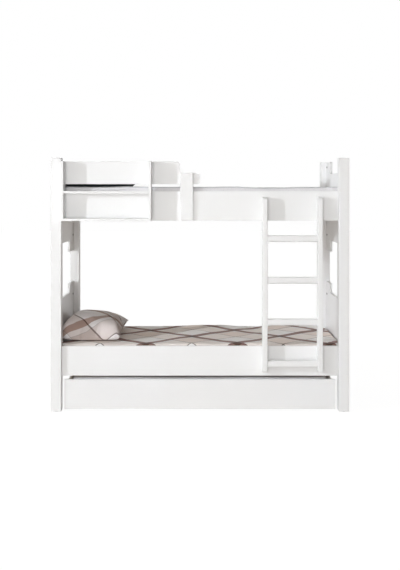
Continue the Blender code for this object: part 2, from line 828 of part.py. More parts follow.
def make_bracket_mesh(steel):
    """A pressed bracket: a plate with two cheeks, drilled for the axle, where its origin is."""
    plate_low = WHEEL_RADIUS + WHEEL_TOP_GAP
    plate_high = plate_low + BRACKET_SHEET
    half_gap = WHEEL_WIDTH / 2 + HUB_SIDE_GAP
    plate = rounded_rectangle(BRACKET_WIDTH / 2, BRACKET_LENGTH / 2, BRACKET_CORNER, ARC_STEPS)
    rings = [[(u, v, height) for u, v in plate] for height in (plate_low, plate_high)]
    bracket = lofted("bracket", rings, steel, (0, 0, 0))
    nose_corner = CHEEK_NOSE - EDGE_ROUNDING
    cheek = [
        (-CHEEK_NOSE, -CHEEK_NOSE, nose_corner),
        (CHEEK_NOSE, -CHEEK_NOSE, nose_corner),
        (CHEEK_TOP_LENGTH / 2, plate_low + BRACKET_SHEET / 2, 0),
        (-CHEEK_TOP_LENGTH / 2, plate_low + BRACKET_SHEET / 2, 0),
    ]
    for start in (-half_gap - BRACKET_SHEET, half_gap):
        tool = extruded("cheek", rounded_outline(cheek), "X", BRACKET_SHEET, steel, (start, 0, 0))
        combine(bracket, tool, "UNION")
    hole_radius = AXLE_RADIUS + AXLE_CLEARANCE
    reach = half_gap + BRACKET_SHEET + CUT_OVERRUN
    hole = [(0, -reach), (hole_radius, -reach), (hole_radius, reach), (0, reach)]
    cutter = turned("axle hole", hole, "X", SMALL_ROUND_STEPS, steel, (0, 0, 0))
    combine(bracket, cutter, "DIFFERENCE")
    mesh = bracket.data
    bpy.data.objects.remove(bracket, do_unlink=True)
    return mesh


def wheel_profile():
    """Closed half section of a wheel: tread, rim, thin web and hub round the bore."""
    half = WHEEL_WIDTH / 2
    bore = AXLE_RADIUS + AXLE_CLEARANCE
    rim = WHEEL_RADIUS - WHEEL_RIM
    return [
        (WHEEL_RADIUS, -half + WHEEL_SHOULDER),
        (WHEEL_RADIUS, half - WHEEL_SHOULDER),
        (WHEEL_RADIUS - WHEEL_SHOULDER, half),
        (rim, half),
        (rim, WHEEL_WEB / 2),
        (HUB_RADIUS, WHEEL_WEB / 2),
        (HUB_RADIUS, half),
        (bore, half),
        (bore, -half),
        (HUB_RADIUS, -half),
        (HUB_RADIUS, -WHEEL_WEB / 2),
        (rim, -WHEEL_WEB / 2),
        (rim, -half),
        (WHEEL_RADIUS - WHEEL_SHOULDER, -half),
    ]


def axle_profile():
    """Half section of a rivet: the pin between its two heads."""
    seat = WHEEL_WIDTH / 2 + HUB_SIDE_GAP + BRACKET_SHEET + TOUCH
    end = seat + RIVET_HEAD
    return [
        (0, -end),
        (RIVET_RADIUS, -end),
        (RIVET_RADIUS, -seat),
        (AXLE_RADIUS, -seat),
        (AXLE_RADIUS, seat),
        (RIVET_RADIUS, seat),
        (RIVET_RADIUS, end),
        (0, end),
    ]


def make_wheels(steel, plastic, parent, inner_half, inner_front, inner_back):
    """Four brackets, axles and wheels, each wheel with its origin on its axle."""
    bracket_mesh = make_bracket_mesh(steel)
    for side, x in (("left", -inner_half + WHEEL_FROM_SIDE), ("right", inner_half - WHEEL_FROM_SIDE)):
        for end, y in (("front", inner_front + WHEEL_FROM_FRONT), ("rear", inner_back - WHEEL_FROM_BACK)):
            place = (x, y, WHEEL_RADIUS)
            add_object(f"wheel_bracket_{end}_{side}", bracket_mesh, steel, place, parent)
            turned(
                f"wheel_axle_{end}_{side}",
                axle_profile(),
                "X",
                SMALL_ROUND_STEPS,
                steel,
                place,
                parent,
            )
            turned(
                f"wheel_{end}_{side}",
                wheel_profile(),
                "X",
                ROUND_STEPS,
                plastic,
                place,
                parent,
                hollow=True,
            )


def make_trundle(lacquer, steel, plastic, quilted):
    """The trundle, all under one empty that marks the line it rolls along."""
    carriage = bpy.data.objects.new("trundle_carriage", None)
    bpy.context.scene.collection.objects.link(carriage)
    carriage.location = (0, POST_FRONT + TRUNDLE_RECESS, 0)
    inner_half, inner_front, inner_back = make_trundle_box(lacquer, carriage)
    make_wheels(steel, plastic, carriage, inner_half, inner_front, inner_back)
    rest = base_underside() + TRUNDLE_BASE_THICKNESS + TOUCH
    make_mattress(
        "trundle_mattress",
        inner_half - TRUNDLE_MATTRESS_GAP,
        (inner_back - inner_front) / 2 - TRUNDLE_MATTRESS_GAP,
        TRUNDLE_TOP + TRUNDLE_MATTRESS_PROUD - rest,
        TRUNDLE_MATTRESS_CORNER,
        (0, (inner_front + inner_back) / 2, rest),
        quilted,
        carriage,
    )


def main():
    """Build the whole bed."""
    clear_scene()
    lacquer = finish("white lacquer", (0.86, 0.86, 0.85), 0.35)
    pine = finish("pale pine", (0.72, 0.56, 0.36), 0.55)
    steel = finish("zinc-plated steel", (0.62, 0.62, 0.64), 0.35, 1.0)
    plastic = finish("grey plastic", (0.30, 0.30, 0.31), 0.50)
    quilted = finish("quilted white ticking", (0.78, 0.77, 0.76), 0.85)
    plaid = finish("beige plaid cotton", (0.60, 0.54, 0.49), 0.90)
    navy = finish("dark navy cotton", (0.015, 0.020, 0.035), 0.90)
    make_posts(lacquer, plastic)
    lower_rail, upper_rail = make_rails(lacquer)
    make_end_panels(lacquer)
    make_ledgers(pine)
    make_slat_base("lower_slat_base", LOWER_RAIL_RISE, pine)
    make_slat_base("upper_slat_base", UPPER_RAIL_RISE, pine)
    make_guard(lacquer)
    make_shelf(lacquer)
    make_ladder(lacquer, steel, lower_rail, upper_rail)
    lower_top, upper_top = make_mattresses(quilted, plaid)
    make_pillow(
        "lower_pillow",
        LOWER_PILLOW_WIDTH,
        LOWER_PILLOW_HEIGHT,
        LOWER_PILLOW_SIDE_GAP,
        LOWER_PILLOW_END_GAP,
        lower_top,
        plaid,
    )
    make_pillow(
        "upper_pillow",
        UPPER_PILLOW_WIDTH,
        UPPER_PILLOW_HEIGHT,
        UPPER_PILLOW_SIDE_GAP,
        UPPER_PILLOW_END_GAP,
        upper_top,
        navy,
    )
    make_trundle(lacquer, steel, plastic, quilted)
    bpy.context.view_layer.update()


main()
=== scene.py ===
# %% [markdown]
# A bunk bed with a trundle, dressed for its picture.
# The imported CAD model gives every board, rail and screw its size and place. This lesson gives them
# finishes, and makes the soft and small things that a flat-sided solid can't show: mattresses in their
# covers, stuffed pillows, slats on their tapes, and the fittings that hold the boards. Everything is in
# metres, +Z is up, the bed's length runs along X, and its front faces -Y.

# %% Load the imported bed
import math

import bmesh
import bpy
import numpy as np
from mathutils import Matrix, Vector


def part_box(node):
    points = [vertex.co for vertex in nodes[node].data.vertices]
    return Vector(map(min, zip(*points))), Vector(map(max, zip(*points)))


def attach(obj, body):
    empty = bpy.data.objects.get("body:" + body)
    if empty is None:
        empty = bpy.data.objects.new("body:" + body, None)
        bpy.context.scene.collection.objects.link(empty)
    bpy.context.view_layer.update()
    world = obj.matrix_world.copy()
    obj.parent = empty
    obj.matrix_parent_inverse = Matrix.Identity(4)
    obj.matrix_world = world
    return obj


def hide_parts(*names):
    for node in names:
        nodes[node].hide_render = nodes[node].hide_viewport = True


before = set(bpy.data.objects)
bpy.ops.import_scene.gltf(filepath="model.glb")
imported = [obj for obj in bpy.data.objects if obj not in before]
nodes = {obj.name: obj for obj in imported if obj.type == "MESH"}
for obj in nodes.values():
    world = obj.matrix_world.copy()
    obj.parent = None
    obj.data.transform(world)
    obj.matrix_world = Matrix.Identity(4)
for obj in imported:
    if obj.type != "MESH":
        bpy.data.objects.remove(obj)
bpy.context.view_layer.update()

# %% [markdown]
# Camera.
# The photograph was taken straight on with a long lens: the rails and boards stay level and the posts stay
# upright. Such a picture could be made by tilting the camera and mending the lines afterwards. A level
# camera with its frame shifted down is simpler and is what a view camera does, so no line ever leans.

# %% Level camera with a shifted frame
camera_data = bpy.data.cameras.new("camera")
camera_data.lens = 58.65
camera_data.sensor_width = 36.0
camera_data.shift_y = -0.1605
camera_data.clip_start = 0.05
camera_data.clip_end = 100.0
camera = bpy.data.objects.new("camera", camera_data)
camera.location = (0.0, -6.6825, 1.464)
camera.rotation_euler = (math.radians(90), 0.0, 0.0)
bpy.context.scene.collection.objects.link(camera)
bpy.context.scene.camera = camera
bpy.context.scene.view_settings.view_transform = "Standard"
print("camera", camera_data.lens, "mm,", round(-camera.location.y, 3), "m in front of the bed's middle")

# %% [markdown]
# Helpers for node trees.
# Materials and Geometry Nodes are both trees of nodes. Written out call by call they take ten lines a node,
# so one helper adds a node, sets its options, and fills its inputs with a value or with another node's
# output.

# %% One call for one node
def put(tree, kind, inputs=(), **options):
    """Adds a node and gives it back. Each input is a plain value or another node's output."""
    node = tree.nodes.new(kind)
    for name, value in options.items():
        setattr(node, name, value)
    for key, value in dict(inputs).items():
        if isinstance(value, bpy.types.NodeSocket):
            tree.links.new(value, node.inputs[key])
        else:
            node.inputs[key].default_value = value
    return node


def calculate(tree, operation, *values):
    """One Math node on one to three numbers or outputs."""
    return put(tree, "ShaderNodeMath", dict(enumerate(values)), operation=operation).outputs[0]


def vector_of(tree, x=0.0, y=0.0, z=0.0):
    """Three numbers or outputs as one vector."""
    return put(tree, "ShaderNodeCombineXYZ", {0: x, 1: y, 2: z}).outputs[0]


# %% Colours, noise and bumps for the finishes
def new_finish(name, colour, roughness, metallic=0.0):
    """A material with one Principled shader, whose plain values are set on the shader itself."""
    material = bpy.data.materials.new(name)
    material.use_nodes = True
    material.diffuse_color = (*colour, 1.0)
    tree = material.node_tree
    shader = tree.nodes["Principled BSDF"]
    shader.inputs["Base Color"].default_value = (*colour, 1.0)
    shader.inputs["Roughness"].default_value = roughness
    shader.inputs["Metallic"].default_value = metallic
    return material, tree, shader


def dimmed(colour, share):
    """The same colour, darker or lighter by a share."""
    return tuple(share * part for part in colour)


def shades(tree, share, stops):
    """A colour ramp of (place, colour) stops. All places are set first, because they sort the stops."""
    node = put(tree, "ShaderNodeValToRGB", {0: share})
    elements = node.color_ramp.elements
    while len(elements) < len(stops):
        elements.new(0.5)
    for element, (place, _) in zip(elements, stops):
        element.position = place
    for element, (_, colour) in zip(elements, stops):
        element.color = (*colour, 1.0)
    return node.outputs["Color"]


def blend_colours(tree, share, first, second, way="MIX"):
    """Two colours in one: mixed by a share, or laid over each other with MULTIPLY, as dyes are."""
    sockets = {"Factor": share, "A": first, "B": second}
    return put(tree, "ShaderNodeMix", sockets, data_type="RGBA", blend_type=way).outputs["Result"]


def noise_at(tree, where, scale, detail=2.0):
    """Soft noise from 0 to 1."""
    return put(tree, "ShaderNodeTexNoise", {"Vector": where, "Scale": scale, "Detail": detail}).outputs["Fac"]


def from_to(tree, value, low, high, new_low, new_high):
    """Brings a value from one range to another."""
    return put(tree, "ShaderNodeMapRange", {0: value, 1: low, 2: high, 3: new_low, 4: new_high}).outputs[0]


def own_place(tree):
    """The object's own coordinates, in metres."""
    return put(tree, "ShaderNodeTexCoord").outputs["Object"]


def scaled(tree, place, scale):
    """A place with each axis stretched or squeezed, by a Mapping node."""
    return put(tree, "ShaderNodeMapping", {"Vector": place, "Scale": scale}).outputs["Vector"]


def paint(tree, shader, colour, roughness=None):
    """Gives the shader a colour, and a roughness where there is one, from other nodes."""
    tree.links.new(colour, shader.inputs["Base Color"])
    if roughness is not None:
        tree.links.new(roughness, shader.inputs["Roughness"])


def raise_surface(tree, shader, height, strength, distance):
    """A bump in which a height of 1 stands for the distance in metres."""
    bump = put(tree, "ShaderNodeBump", {"Height": height, "Strength": strength, "Distance": distance})
    tree.links.new(bump.outputs["Normal"], shader.inputs["Normal"])


# %% [markdown]
# White lacquer.
# The boards are flat panels with rounded edges under a semi-matt white lacquer. A plain white would do for
# a drawing. Real lacquer is sprayed, so it has a faint orange peel a few millimetres across, and its gloss
# changes slowly over a board. Along the edges the colour is painted darker and a little warmer, in patches:
# that is painted shade of the rounded edges. The edges are found by comparing the true surface direction
# with the one that the Bevel node rounds off.

# %% Lacquer for the boards, with painted shade along the edges
def white_lacquer(name, colour, painted_edge_shade):
    """A sprayed coat whose tone and gloss drift over the board, with painted shade, darker and warmer, along
    the edges.
    """
    material, tree, shader = new_finish(name, colour, 0.4)
    place = own_place(tree)
    coat = shades(tree, noise_at(tree, place, 2.3, 3.0), [(0.3, dimmed(colour, 0.985)), (0.7, colour)])
    rounded = put(tree, "ShaderNodeBevel", {"Radius": 0.003}, samples=4).outputs["Normal"]
    flat = put(tree, "ShaderNodeNewGeometry").outputs["Normal"]
    same = put(tree, "ShaderNodeVectorMath", {0: rounded, 1: flat}, operation="DOT_PRODUCT").outputs["Value"]
    # Painted shade: where the Bevel node finds an edge, the colour is blended in patches towards the darker,
    # warmer edge colour.
    edge = from_to(tree, same, 0.998, 0.86, 0.0, 0.55)
    painted_edge_shade_mask = calculate(tree, "MULTIPLY", edge, noise_at(tree, place, 19.0, 3.0))
    gloss = from_to(tree, noise_at(tree, place, 6.0, 4.0), 0.3, 0.7, 0.36, 0.46)
    paint(tree, shader, blend_colours(tree, painted_edge_shade_mask, coat, (*painted_edge_shade, 1.0)), gloss)
    raise_surface(tree, shader, noise_at(tree, place, 210.0), 0.10, 0.0006)
    return material


# The second colour is the painted shade for the board edges.
LACQUER = white_lacquer("white_lacquer", (0.855, 0.855, 0.86), (0.74, 0.725, 0.70))
print("lacquer made")

# %% [markdown]
# Pine.
# The slats and ledgers are planed, unfinished pine. A photograph of wood wrapped on a board is the usual
# way, but it repeats. Here a soft noise is drawn out along the board and cut into even steps, which are the
# rings of the log, with fine pores on top and a few knots. Each slat reads its own number, so no two look
# the same.

# %% Pine whose grain runs along one axis
RING_COLOURS = [(0.0, (0.72, 0.56, 0.36)), (0.55, (0.70, 0.53, 0.33)), (0.9, (0.60, 0.41, 0.22)),
                (1.0, (0.71, 0.55, 0.35))]
KNOT_COLOUR = (0.26, 0.13, 0.06, 1.0)
PORES_FINER = 26.0  # how much finer the pores are than the rings


def planed_pine(name, along):
    """along is 0 for grain that runs with X and 1 for grain that runs with Y."""
    material, tree, shader = new_finish(name, RING_COLOURS[0][1], 0.62)
    place = own_place(tree)
    number = put(tree, "ShaderNodeAttribute", attribute_name="board_number").outputs["Fac"]
    shift = vector_of(tree, x=calculate(tree, "MULTIPLY", number, 3.7), z=number)
    moved = put(tree, "ShaderNodeVectorMath", {0: place, 1: shift}, operation="ADD").outputs["Vector"]
    grain = [9.0, 9.0, 9.0]
    grain[along] = 0.7
    drawn = scaled(tree, moved, grain)
    bent = noise_at(tree, drawn, 1.3, 3.0)
    rings = calculate(tree, "FRACT", calculate(tree, "MULTIPLY", bent, 11.0))
    pores = noise_at(tree, scaled(tree, moved, [PORES_FINER * part for part in grain]), 1.0)
    centres = put(tree, "ShaderNodeTexVoronoi", {"Vector": drawn, "Scale": 0.55}).outputs["Distance"]
    knot = from_to(tree, centres, 0.03, 0.09, 0.75, 0.0)
    wood = blend_colours(tree, knot, shades(tree, rings, RING_COLOURS), KNOT_COLOUR)
    paint(tree, shader, wood, from_to(tree, pores, 0.3, 0.7, 0.55, 0.7))
    raise_surface(tree, shader, calculate(tree, "ADD", pores, rings), 0.25, 0.0003)
    return material


PINE_LENGTHWAYS = planed_pine("pine_along_rails", 0)
PINE_ACROSS = planed_pine("pine_across_bed", 1)
print("pine made")

# %% [markdown]
# Steel, plastic and webbing.
# Zinc plating is bright but never a mirror: it has fine brushing and cloudy patches. The wheels and the
# feet are moulded plastic with a fine spark-eroded grain. The slats are stapled to two woven tapes, ribbed
# across.

# %% Small hardware finishes
def zinc(name, colour, roughness):
    """Cloudy plating over fine brushing."""
    material, tree, shader = new_finish(name, colour, roughness, 1.0)
    place = own_place(tree)
    cloud = noise_at(tree, scaled(tree, place, (60.0, 60.0, 60.0)), 1.0, 4.0)
    tint = shades(tree, cloud, [(0.3, dimmed(colour, 0.8)), (0.7, colour)])
    paint(tree, shader, tint, from_to(tree, cloud, 0.3, 0.7, roughness - 0.08, roughness + 0.1))
    raise_surface(tree, shader, noise_at(tree, scaled(tree, place, (90.0, 900.0, 90.0)), 1.0), 0.2, 0.0001)
    return material


def moulded(name, colour):
    """Plastic with a fine grain, scuffed lighter in patches."""
    material, tree, shader = new_finish(name, colour, 0.52)
    place = own_place(tree)
    worn = noise_at(tree, place, 90.0, 3.0)
    paint(tree, shader, shades(tree, worn, [(0.3, colour), (0.75, dimmed(colour, 1.25))]))
    raise_surface(tree, shader, noise_at(tree, place, 1400.0), 0.3, 0.0001)
    return material


def woven_tape(name):
    """Webbing, ribbed across."""
    material, tree, shader = new_finish(name, (0.74, 0.72, 0.68), 0.85)
    rib = put(tree, "ShaderNodeTexWave", {"Vector": own_place(tree), "Scale": 230.0}).outputs["Fac"]
    paint(tree, shader, shades(tree, rib, [(0.0, (0.60, 0.58, 0.54)), (0.6, (0.76, 0.74, 0.70))]))
    raise_surface(tree, shader, rib, 0.6, 0.0005)
    return material


ZINC = zinc("zinc_plated_steel", (0.62, 0.62, 0.64), 0.34)
DARK_ZINC = zinc("dull_cam_metal", (0.10, 0.10, 0.105), 0.5)
WHEEL_PLASTIC = moulded("grey_plastic", (0.17, 0.17, 0.18))
CAP_PLASTIC = moulded("white_cap_plastic", (0.84, 0.84, 0.84))
TAPE = woven_tape("slat_tape")
print("hardware finishes made")

# %% [markdown]
# Cloths.
# Every cloth here is a plain weave: threads one over, one under, about a millimetre apart. A flat colour
# with a little gloss looks like card, so each cloth has the weave as a bump, threads of slightly different
# shade, and a soft sheen at glancing angles. They read the piece's own UV map, which holds metres of flat
# cloth, so the weave and the plaid follow the cloth round every edge as they do when it is cut and sewn.

# %% Weave, shared by the cloths
def weave(tree, pitch):
    """Threads both ways on the cloth's own map. Gives the flat place, the height and the thread shade."""
    flat = put(tree, "ShaderNodeUVMap", uv_map="flat_cloth").outputs["UV"]
    parts = put(tree, "ShaderNodeSeparateXYZ", {0: flat}).outputs
    turns = [calculate(tree, "MULTIPLY", parts[axis], math.pi / pitch) for axis in (0, 1)]
    height = calculate(tree, "MULTIPLY", *[calculate(tree, "SINE", turn) for turn in turns])
    warp = noise_at(tree, scaled(tree, flat, (900.0, 14.0, 1.0)), 1.0)
    weft = noise_at(tree, scaled(tree, flat, (14.0, 900.0, 1.0)), 1.0)
    shade = calculate(tree, "MULTIPLY", calculate(tree, "ADD", warp, weft), 0.5)
    return flat, height, shade


def dress(tree, shader, colour, height, shade, spread, depth):
    """Mixes the thread shade into a cloth's colour and raises the weave."""
    light = from_to(tree, shade, 0.3, 0.7, 1.0 - spread, 1.0 + spread)
    tint = put(tree, "ShaderNodeVectorMath", {0: colour, "Scale": light}, operation="SCALE")
    paint(tree, shader, tint.outputs["Vector"])
    raise_surface(tree, shader, height, 0.5, depth)
    shader.inputs["Sheen Weight"].default_value = 0.12
    shader.inputs["Sheen Roughness"].default_value = 0.5
    shader.inputs["Specular IOR Level"].default_value = 0.2


# %% [markdown]
# Plaid.
# The lower bed's cover is a plaid turned by 45 degrees: wide brown bands both ways, a light stripe and a
# thin grey line beside each, then a greige field, a thin dark line, and a near-white field up to the next
# band. Painting it on an image would blur close up. Here one ramp gives the colour that a family of threads
# lends at its place in the repeat, and the two families multiply, as dyed threads do in real plaid. Where
# two bands cross, the cloth is darker than the product, so a mask of both bands darkens it once more.

# %% Colours and stripes of the plaid
DIAMOND_LENGTH = 0.62  # from one crossing of the brown bands to the next, along the bed
PLAID_REPEAT = DIAMOND_LENGTH / math.sqrt(2.0)
LIGHT_STRIPE_END, GREY_LINE_END = 0.051, 0.055  # metres from a band's middle
SOFT_EDGE = 0.0012
COVER_BAND = (0.30, 0.19, 0.17)
PILLOW_BAND = (0.54, 0.42, 0.37)
# The cover's greige is the cloth's colour lifted by painted light, which makes up for the upper bunk's shade
# on the cover.
COVER_GREIGE_WITH_PAINTED_LIGHT = (0.95, 0.90, 0.87)
PILLOW_GREIGE = (0.83, 0.78, 0.755)
DARK_LINE = (0.30, 0.255, 0.24)
GREY_LINE = (0.66, 0.645, 0.635)
PLAIN = (1.0, 1.0, 1.0)
BAND_CROSSING = (0.115, 0.07, 0.055, 1.0)


def stripe_stops(band, greige, half_band, line_place, line_width):
    """The colour stops of one repeat, from one band's middle to the next one's, with places in metres."""
    ends = [(half_band, band), (LIGHT_STRIPE_END, PLAIN), (GREY_LINE_END, GREY_LINE), (line_place, greige),
            (line_place + line_width, DARK_LINE), (PLAID_REPEAT - half_band, PLAIN), (PLAID_REPEAT, band)]
    stops = [(0.0, band)]
    for (end, colour), (_, following) in zip(ends, ends[1:]):
        stops.append(((end - SOFT_EDGE) / PLAID_REPEAT, colour))
        stops.append(((end + SOFT_EDGE) / PLAID_REPEAT, following))
    return stops


# %% Plaid cotton
def places_in_repeat(tree, flat, starts, mirror):
    """For each family of threads, the place in its repeat, from 0 to 1."""
    parts = put(tree, "ShaderNodeSeparateXYZ", {0: flat}).outputs
    families = []
    for operation, start, turned in zip(("ADD", "SUBTRACT"), starts, mirror):
        place = calculate(tree, "MULTIPLY", calculate(tree, operation, parts[0], parts[1]), math.sqrt(0.5))
        share = calculate(tree, "DIVIDE", calculate(tree, "SUBTRACT", place, start), turned * PLAID_REPEAT)
        families.append(calculate(tree, "FRACT", share))
    return families


def plaid_cotton(name, band, greige, half_band, ground, starts, mirror, lines):
    """ground is the undyed cloth. starts are where a band's middle lies along each diagonal. mirror is -1
    where a family runs the other way. lines are the place and width of the dark line in each family."""
    material, tree, shader = new_finish(name, (0.6, 0.54, 0.49), 0.9)
    flat, height, shade = weave(tree, 0.0011)
    families = places_in_repeat(tree, flat, starts, mirror)
    stripes = [stripe_stops(band, greige, half_band, *line) for line in lines]
    dyes = [shades(tree, share, stops) for share, stops in zip(families, stripes)]
    in_band = []
    for share in families:
        from_middle = calculate(tree, "PINGPONG", share, 0.5)
        in_band.append(calculate(tree, "LESS_THAN", from_middle, half_band / PLAID_REPEAT))
    both = blend_colours(tree, 1.0, *dyes, way="MULTIPLY")
    deeper = blend_colours(tree, calculate(tree, "MULTIPLY", *in_band), both, BAND_CROSSING)
    cloth = blend_colours(tree, 1.0, deeper, (*ground, 1.0), way="MULTIPLY")
    dress(tree, shader, cloth, height, shade, 0.05, 0.0004)
    return material


# The cover's greige and ground are lighter than the pillow's, though both are one cloth: painted light that
# makes up for the shade the upper bunk casts on the cover.
COVER_PLAID = plaid_cotton(
    "plaid_cover_cotton", COVER_BAND, COVER_GREIGE_WITH_PAINTED_LIGHT, half_band=0.029, ground=(1.0, 0.98, 0.97),
    starts=(-0.13 * math.sqrt(0.5), 0.0165 * math.sqrt(0.5)), mirror=(-1.0, 1.0),
    lines=((0.2155, 0.0074), (0.2155, 0.0074)))
PILLOW_PLAID = plaid_cotton(
    "plaid_pillow_cotton", PILLOW_BAND, PILLOW_GREIGE, half_band=0.020, ground=(0.88, 0.85, 0.86),
    starts=(-0.0216, 0.193), mirror=(1.0, 1.0), lines=((0.2135, 0.0115), (0.176, 0.006)))
print("plaid repeat", round(PLAID_REPEAT, 4), "m")

# %% [markdown]
# Ticking and navy cotton.
# Mattress ticking is a dense, slightly shiny white cloth with a small woven figure. The upper pillow's case
# is a very dark blue-green plain cotton, which shows only as a dark line above the rail in the photograph.

# %% Ticking, its edge tape, and navy cotton
def plain_cloth(name, colour, pitch, spread, figure=0.0):
    """A cloth of one colour. figure is the size of its small woven figure, where it has one."""
    material, tree, shader = new_finish(name, colour, 0.88)
    flat, height, shade = weave(tree, pitch)
    tint = shades(tree, noise_at(tree, flat, 9.0), [(0.3, dimmed(colour, 0.97)), (0.7, colour)])
    if figure:
        cells = put(tree, "ShaderNodeTexVoronoi", {"Vector": flat, "Scale": 1.0 / figure}).outputs["Distance"]
        figured = shades(tree, cells, [(0.32, dimmed(colour, 0.93)), (0.4, colour)])
        tint = blend_colours(tree, 0.5, tint, figured)
    dress(tree, shader, tint, height, shade, spread, 0.0003)
    return material


TICKING = plain_cloth("white_ticking", (0.81, 0.80, 0.82), 0.0012, 0.03, 0.012)
EDGE_TAPE = plain_cloth("mattress_edge_tape", (0.62, 0.62, 0.65), 0.0016, 0.05)
NAVY_COTTON = plain_cloth("navy_cotton", (0.009, 0.016, 0.022), 0.0011, 0.18)
THREAD = plain_cloth("sewing_thread", (0.70, 0.68, 0.68), 0.0008, 0.05)
print("cloths made")

# %% [markdown]
# Finishes on the CAD pieces.
# The CAD boards already have the right shape, so they stay and only get their finish. Here the pieces are
# told apart by name.

# %% Give every carried-over piece its finish
def finish_for(name):
    if "ledger" in name:
        return PINE_LENGTHWAYS
    if "screw" in name or "bracket" in name or "axle" in name:
        return ZINC
    if "wheel" in name or "glide" in name:
        return WHEEL_PLASTIC
    return LACQUER


for name, node in nodes.items():
    node.data.materials.clear()
    node.data.materials.append(finish_for(name))
print(len(nodes), "CAD pieces finished")

# %% [markdown]
# Helpers for meshes.
# A smooth piece still has some sharp edges, such as the rim of a cut slat. Blender can keep them with a
# modifier, but a plain mesh travels better, so each edge is marked sharp where its faces meet at a steep
# angle.

# %% Add a mesh, shaded by angle
def add_piece(name, mesh, material=None):
    """A new object at the origin, with its place in its mesh."""
    if material:
        mesh.materials.clear()
        mesh.materials.append(material)
    piece = bpy.data.objects.new(name, mesh)
    bpy.context.scene.collection.objects.link(piece)
    return piece


def shade_by_angle(mesh, degrees=40.0):
    """Smooth faces, with edges kept sharp where two faces meet at more than so many degrees."""
    bm = bmesh.new()
    bm.from_mesh(mesh)
    for face in bm.faces:
        face.smooth = True
    for edge in bm.edges:
        edge.smooth = len(edge.link_faces) == 2 and edge.calc_face_angle(0.0) < math.radians(degrees)
    bm.to_mesh(mesh)
    bm.free()
    return mesh


def triangles(mesh):
    mesh.calc_loop_triangles()
    return len(mesh.loop_triangles)


def plain_copy(piece, name):
    """The mesh that a piece's modifiers give, as a plain mesh."""
    graph = bpy.context.evaluated_depsgraph_get()
    mesh = bpy.data.meshes.new_from_object(piece.evaluated_get(graph), depsgraph=graph)
    mesh.name = name
    return mesh


# %% [markdown]
# Geometry Nodes, run once.
# What repeats is made by a node tree: slats on their tapes, staples, screws, cams, piping and stitches.
# Each tree has named inputs for its sizes, like the drawing of a part family. The result is turned into a
# plain mesh at once, so nothing live is left on the piece.

# %% Build a tree, run it, keep its mesh
def new_tree(name, numbers, vectors=(), counts=()):
    """A tree with a geometry input, named sizes and a finish. Gives the tree and its inputs."""
    tree = bpy.data.node_groups.new(name, "GeometryNodeTree")
    kinds = {"Geometry": ["Geometry"], "Float": numbers, "Vector": vectors, "Int": counts,
             "Material": ["Finish"]}
    for kind, sizes in kinds.items():
        for size in sizes:
            tree.interface.new_socket(size, in_out="INPUT", socket_type="NodeSocket" + kind)
    tree.interface.new_socket("Geometry", in_out="OUTPUT", socket_type="NodeSocketGeometry")
    entry = tree.nodes.new("NodeGroupInput")
    return tree, entry.outputs


def end_tree(tree, get, geometry):
    """Ends in Realize Instances and Set Material."""
    real = put(tree, "GeometryNodeRealizeInstances", {0: geometry}).outputs[0]
    painted = put(tree, "GeometryNodeSetMaterial", {"Geometry": real, "Material": get["Finish"]}).outputs[0]
    out = tree.nodes.new("NodeGroupOutput")
    tree.links.new(painted, out.inputs[0])
    return tree


def grow(name, tree, start, values, degrees=40.0):
    """Runs a tree on a start mesh, and gives back a plain piece."""
    carrier = bpy.data.objects.new(name + "_start", start)
    modifier = carrier.modifiers.new("grow", "NODES")
    modifier.node_group = tree
    for item in tree.interface.items_tree:
        if item.in_out == "INPUT" and item.name in values:
            modifier[item.identifier] = values[item.name]
    bpy.context.scene.collection.objects.link(carrier)
    mesh = plain_copy(carrier, name)
    carrier.modifiers.clear()
    bpy.data.objects.remove(carrier)
    return add_piece(name, shade_by_angle(mesh, degrees))


def points_mesh(name, places, facings=None):
    """Loose points to set things on, each with the way that it faces where that matters."""
    mesh = bpy.data.meshes.new(name)
    mesh.from_pydata([tuple(p) for p in places], [], [])
    if facings is not None:
        facing = mesh.attributes.new("facing", "FLOAT_VECTOR", "POINT")
        facing.data.foreach_set("vector", np.array(facings, np.float32).ravel())
    return mesh


# %% [markdown]
# Slat bases.
# Each bunk's mattress lies on thirteen pine slats stapled to two woven tapes, which keep them evenly apart
# and let the base be rolled up for the carton. In the CAD the base is one closed solid. Here one tree lays
# the slats: it draws a rounded section, sweeps it across the bed, and repeats it along a line. Two more
# trees lay the tapes and the staples at every crossing.

# %% Steps that several trees share
def rounded_bar(tree, width, height, radius, count):
    """The outline of a flat bar with rounded corners."""
    sockets = {"Width": width, "Height": height}
    outline = put(tree, "GeometryNodeCurvePrimitiveQuadrilateral", sockets).outputs[0]
    sockets = {"Curve": outline, "Radius": radius, "Count": count}
    return put(tree, "GeometryNodeFilletCurve", sockets, mode="POLY").outputs[0]


def sweep(tree, path, section, capped=False):
    """A section drawn along a path."""
    sockets = {"Curve": path, "Profile Curve": section, "Fill Caps": capped}
    return put(tree, "GeometryNodeCurveToMesh", sockets).outputs[0]


def set_on(tree, points, thing, **turns):
    """A thing on every point, with a Rotation or a Scale where they are given."""
    sockets = {"Points": points, "Instance": thing, **turns}
    return put(tree, "GeometryNodeInstanceOnPoints", sockets).outputs[0]


def as_curve(tree, mesh):
    """The start mesh's edges as a curve."""
    return put(tree, "GeometryNodeMeshToCurve", {"Mesh": mesh}).outputs[0]


# %% Trees for slats, tapes and staples
BOARD_SEED = 7


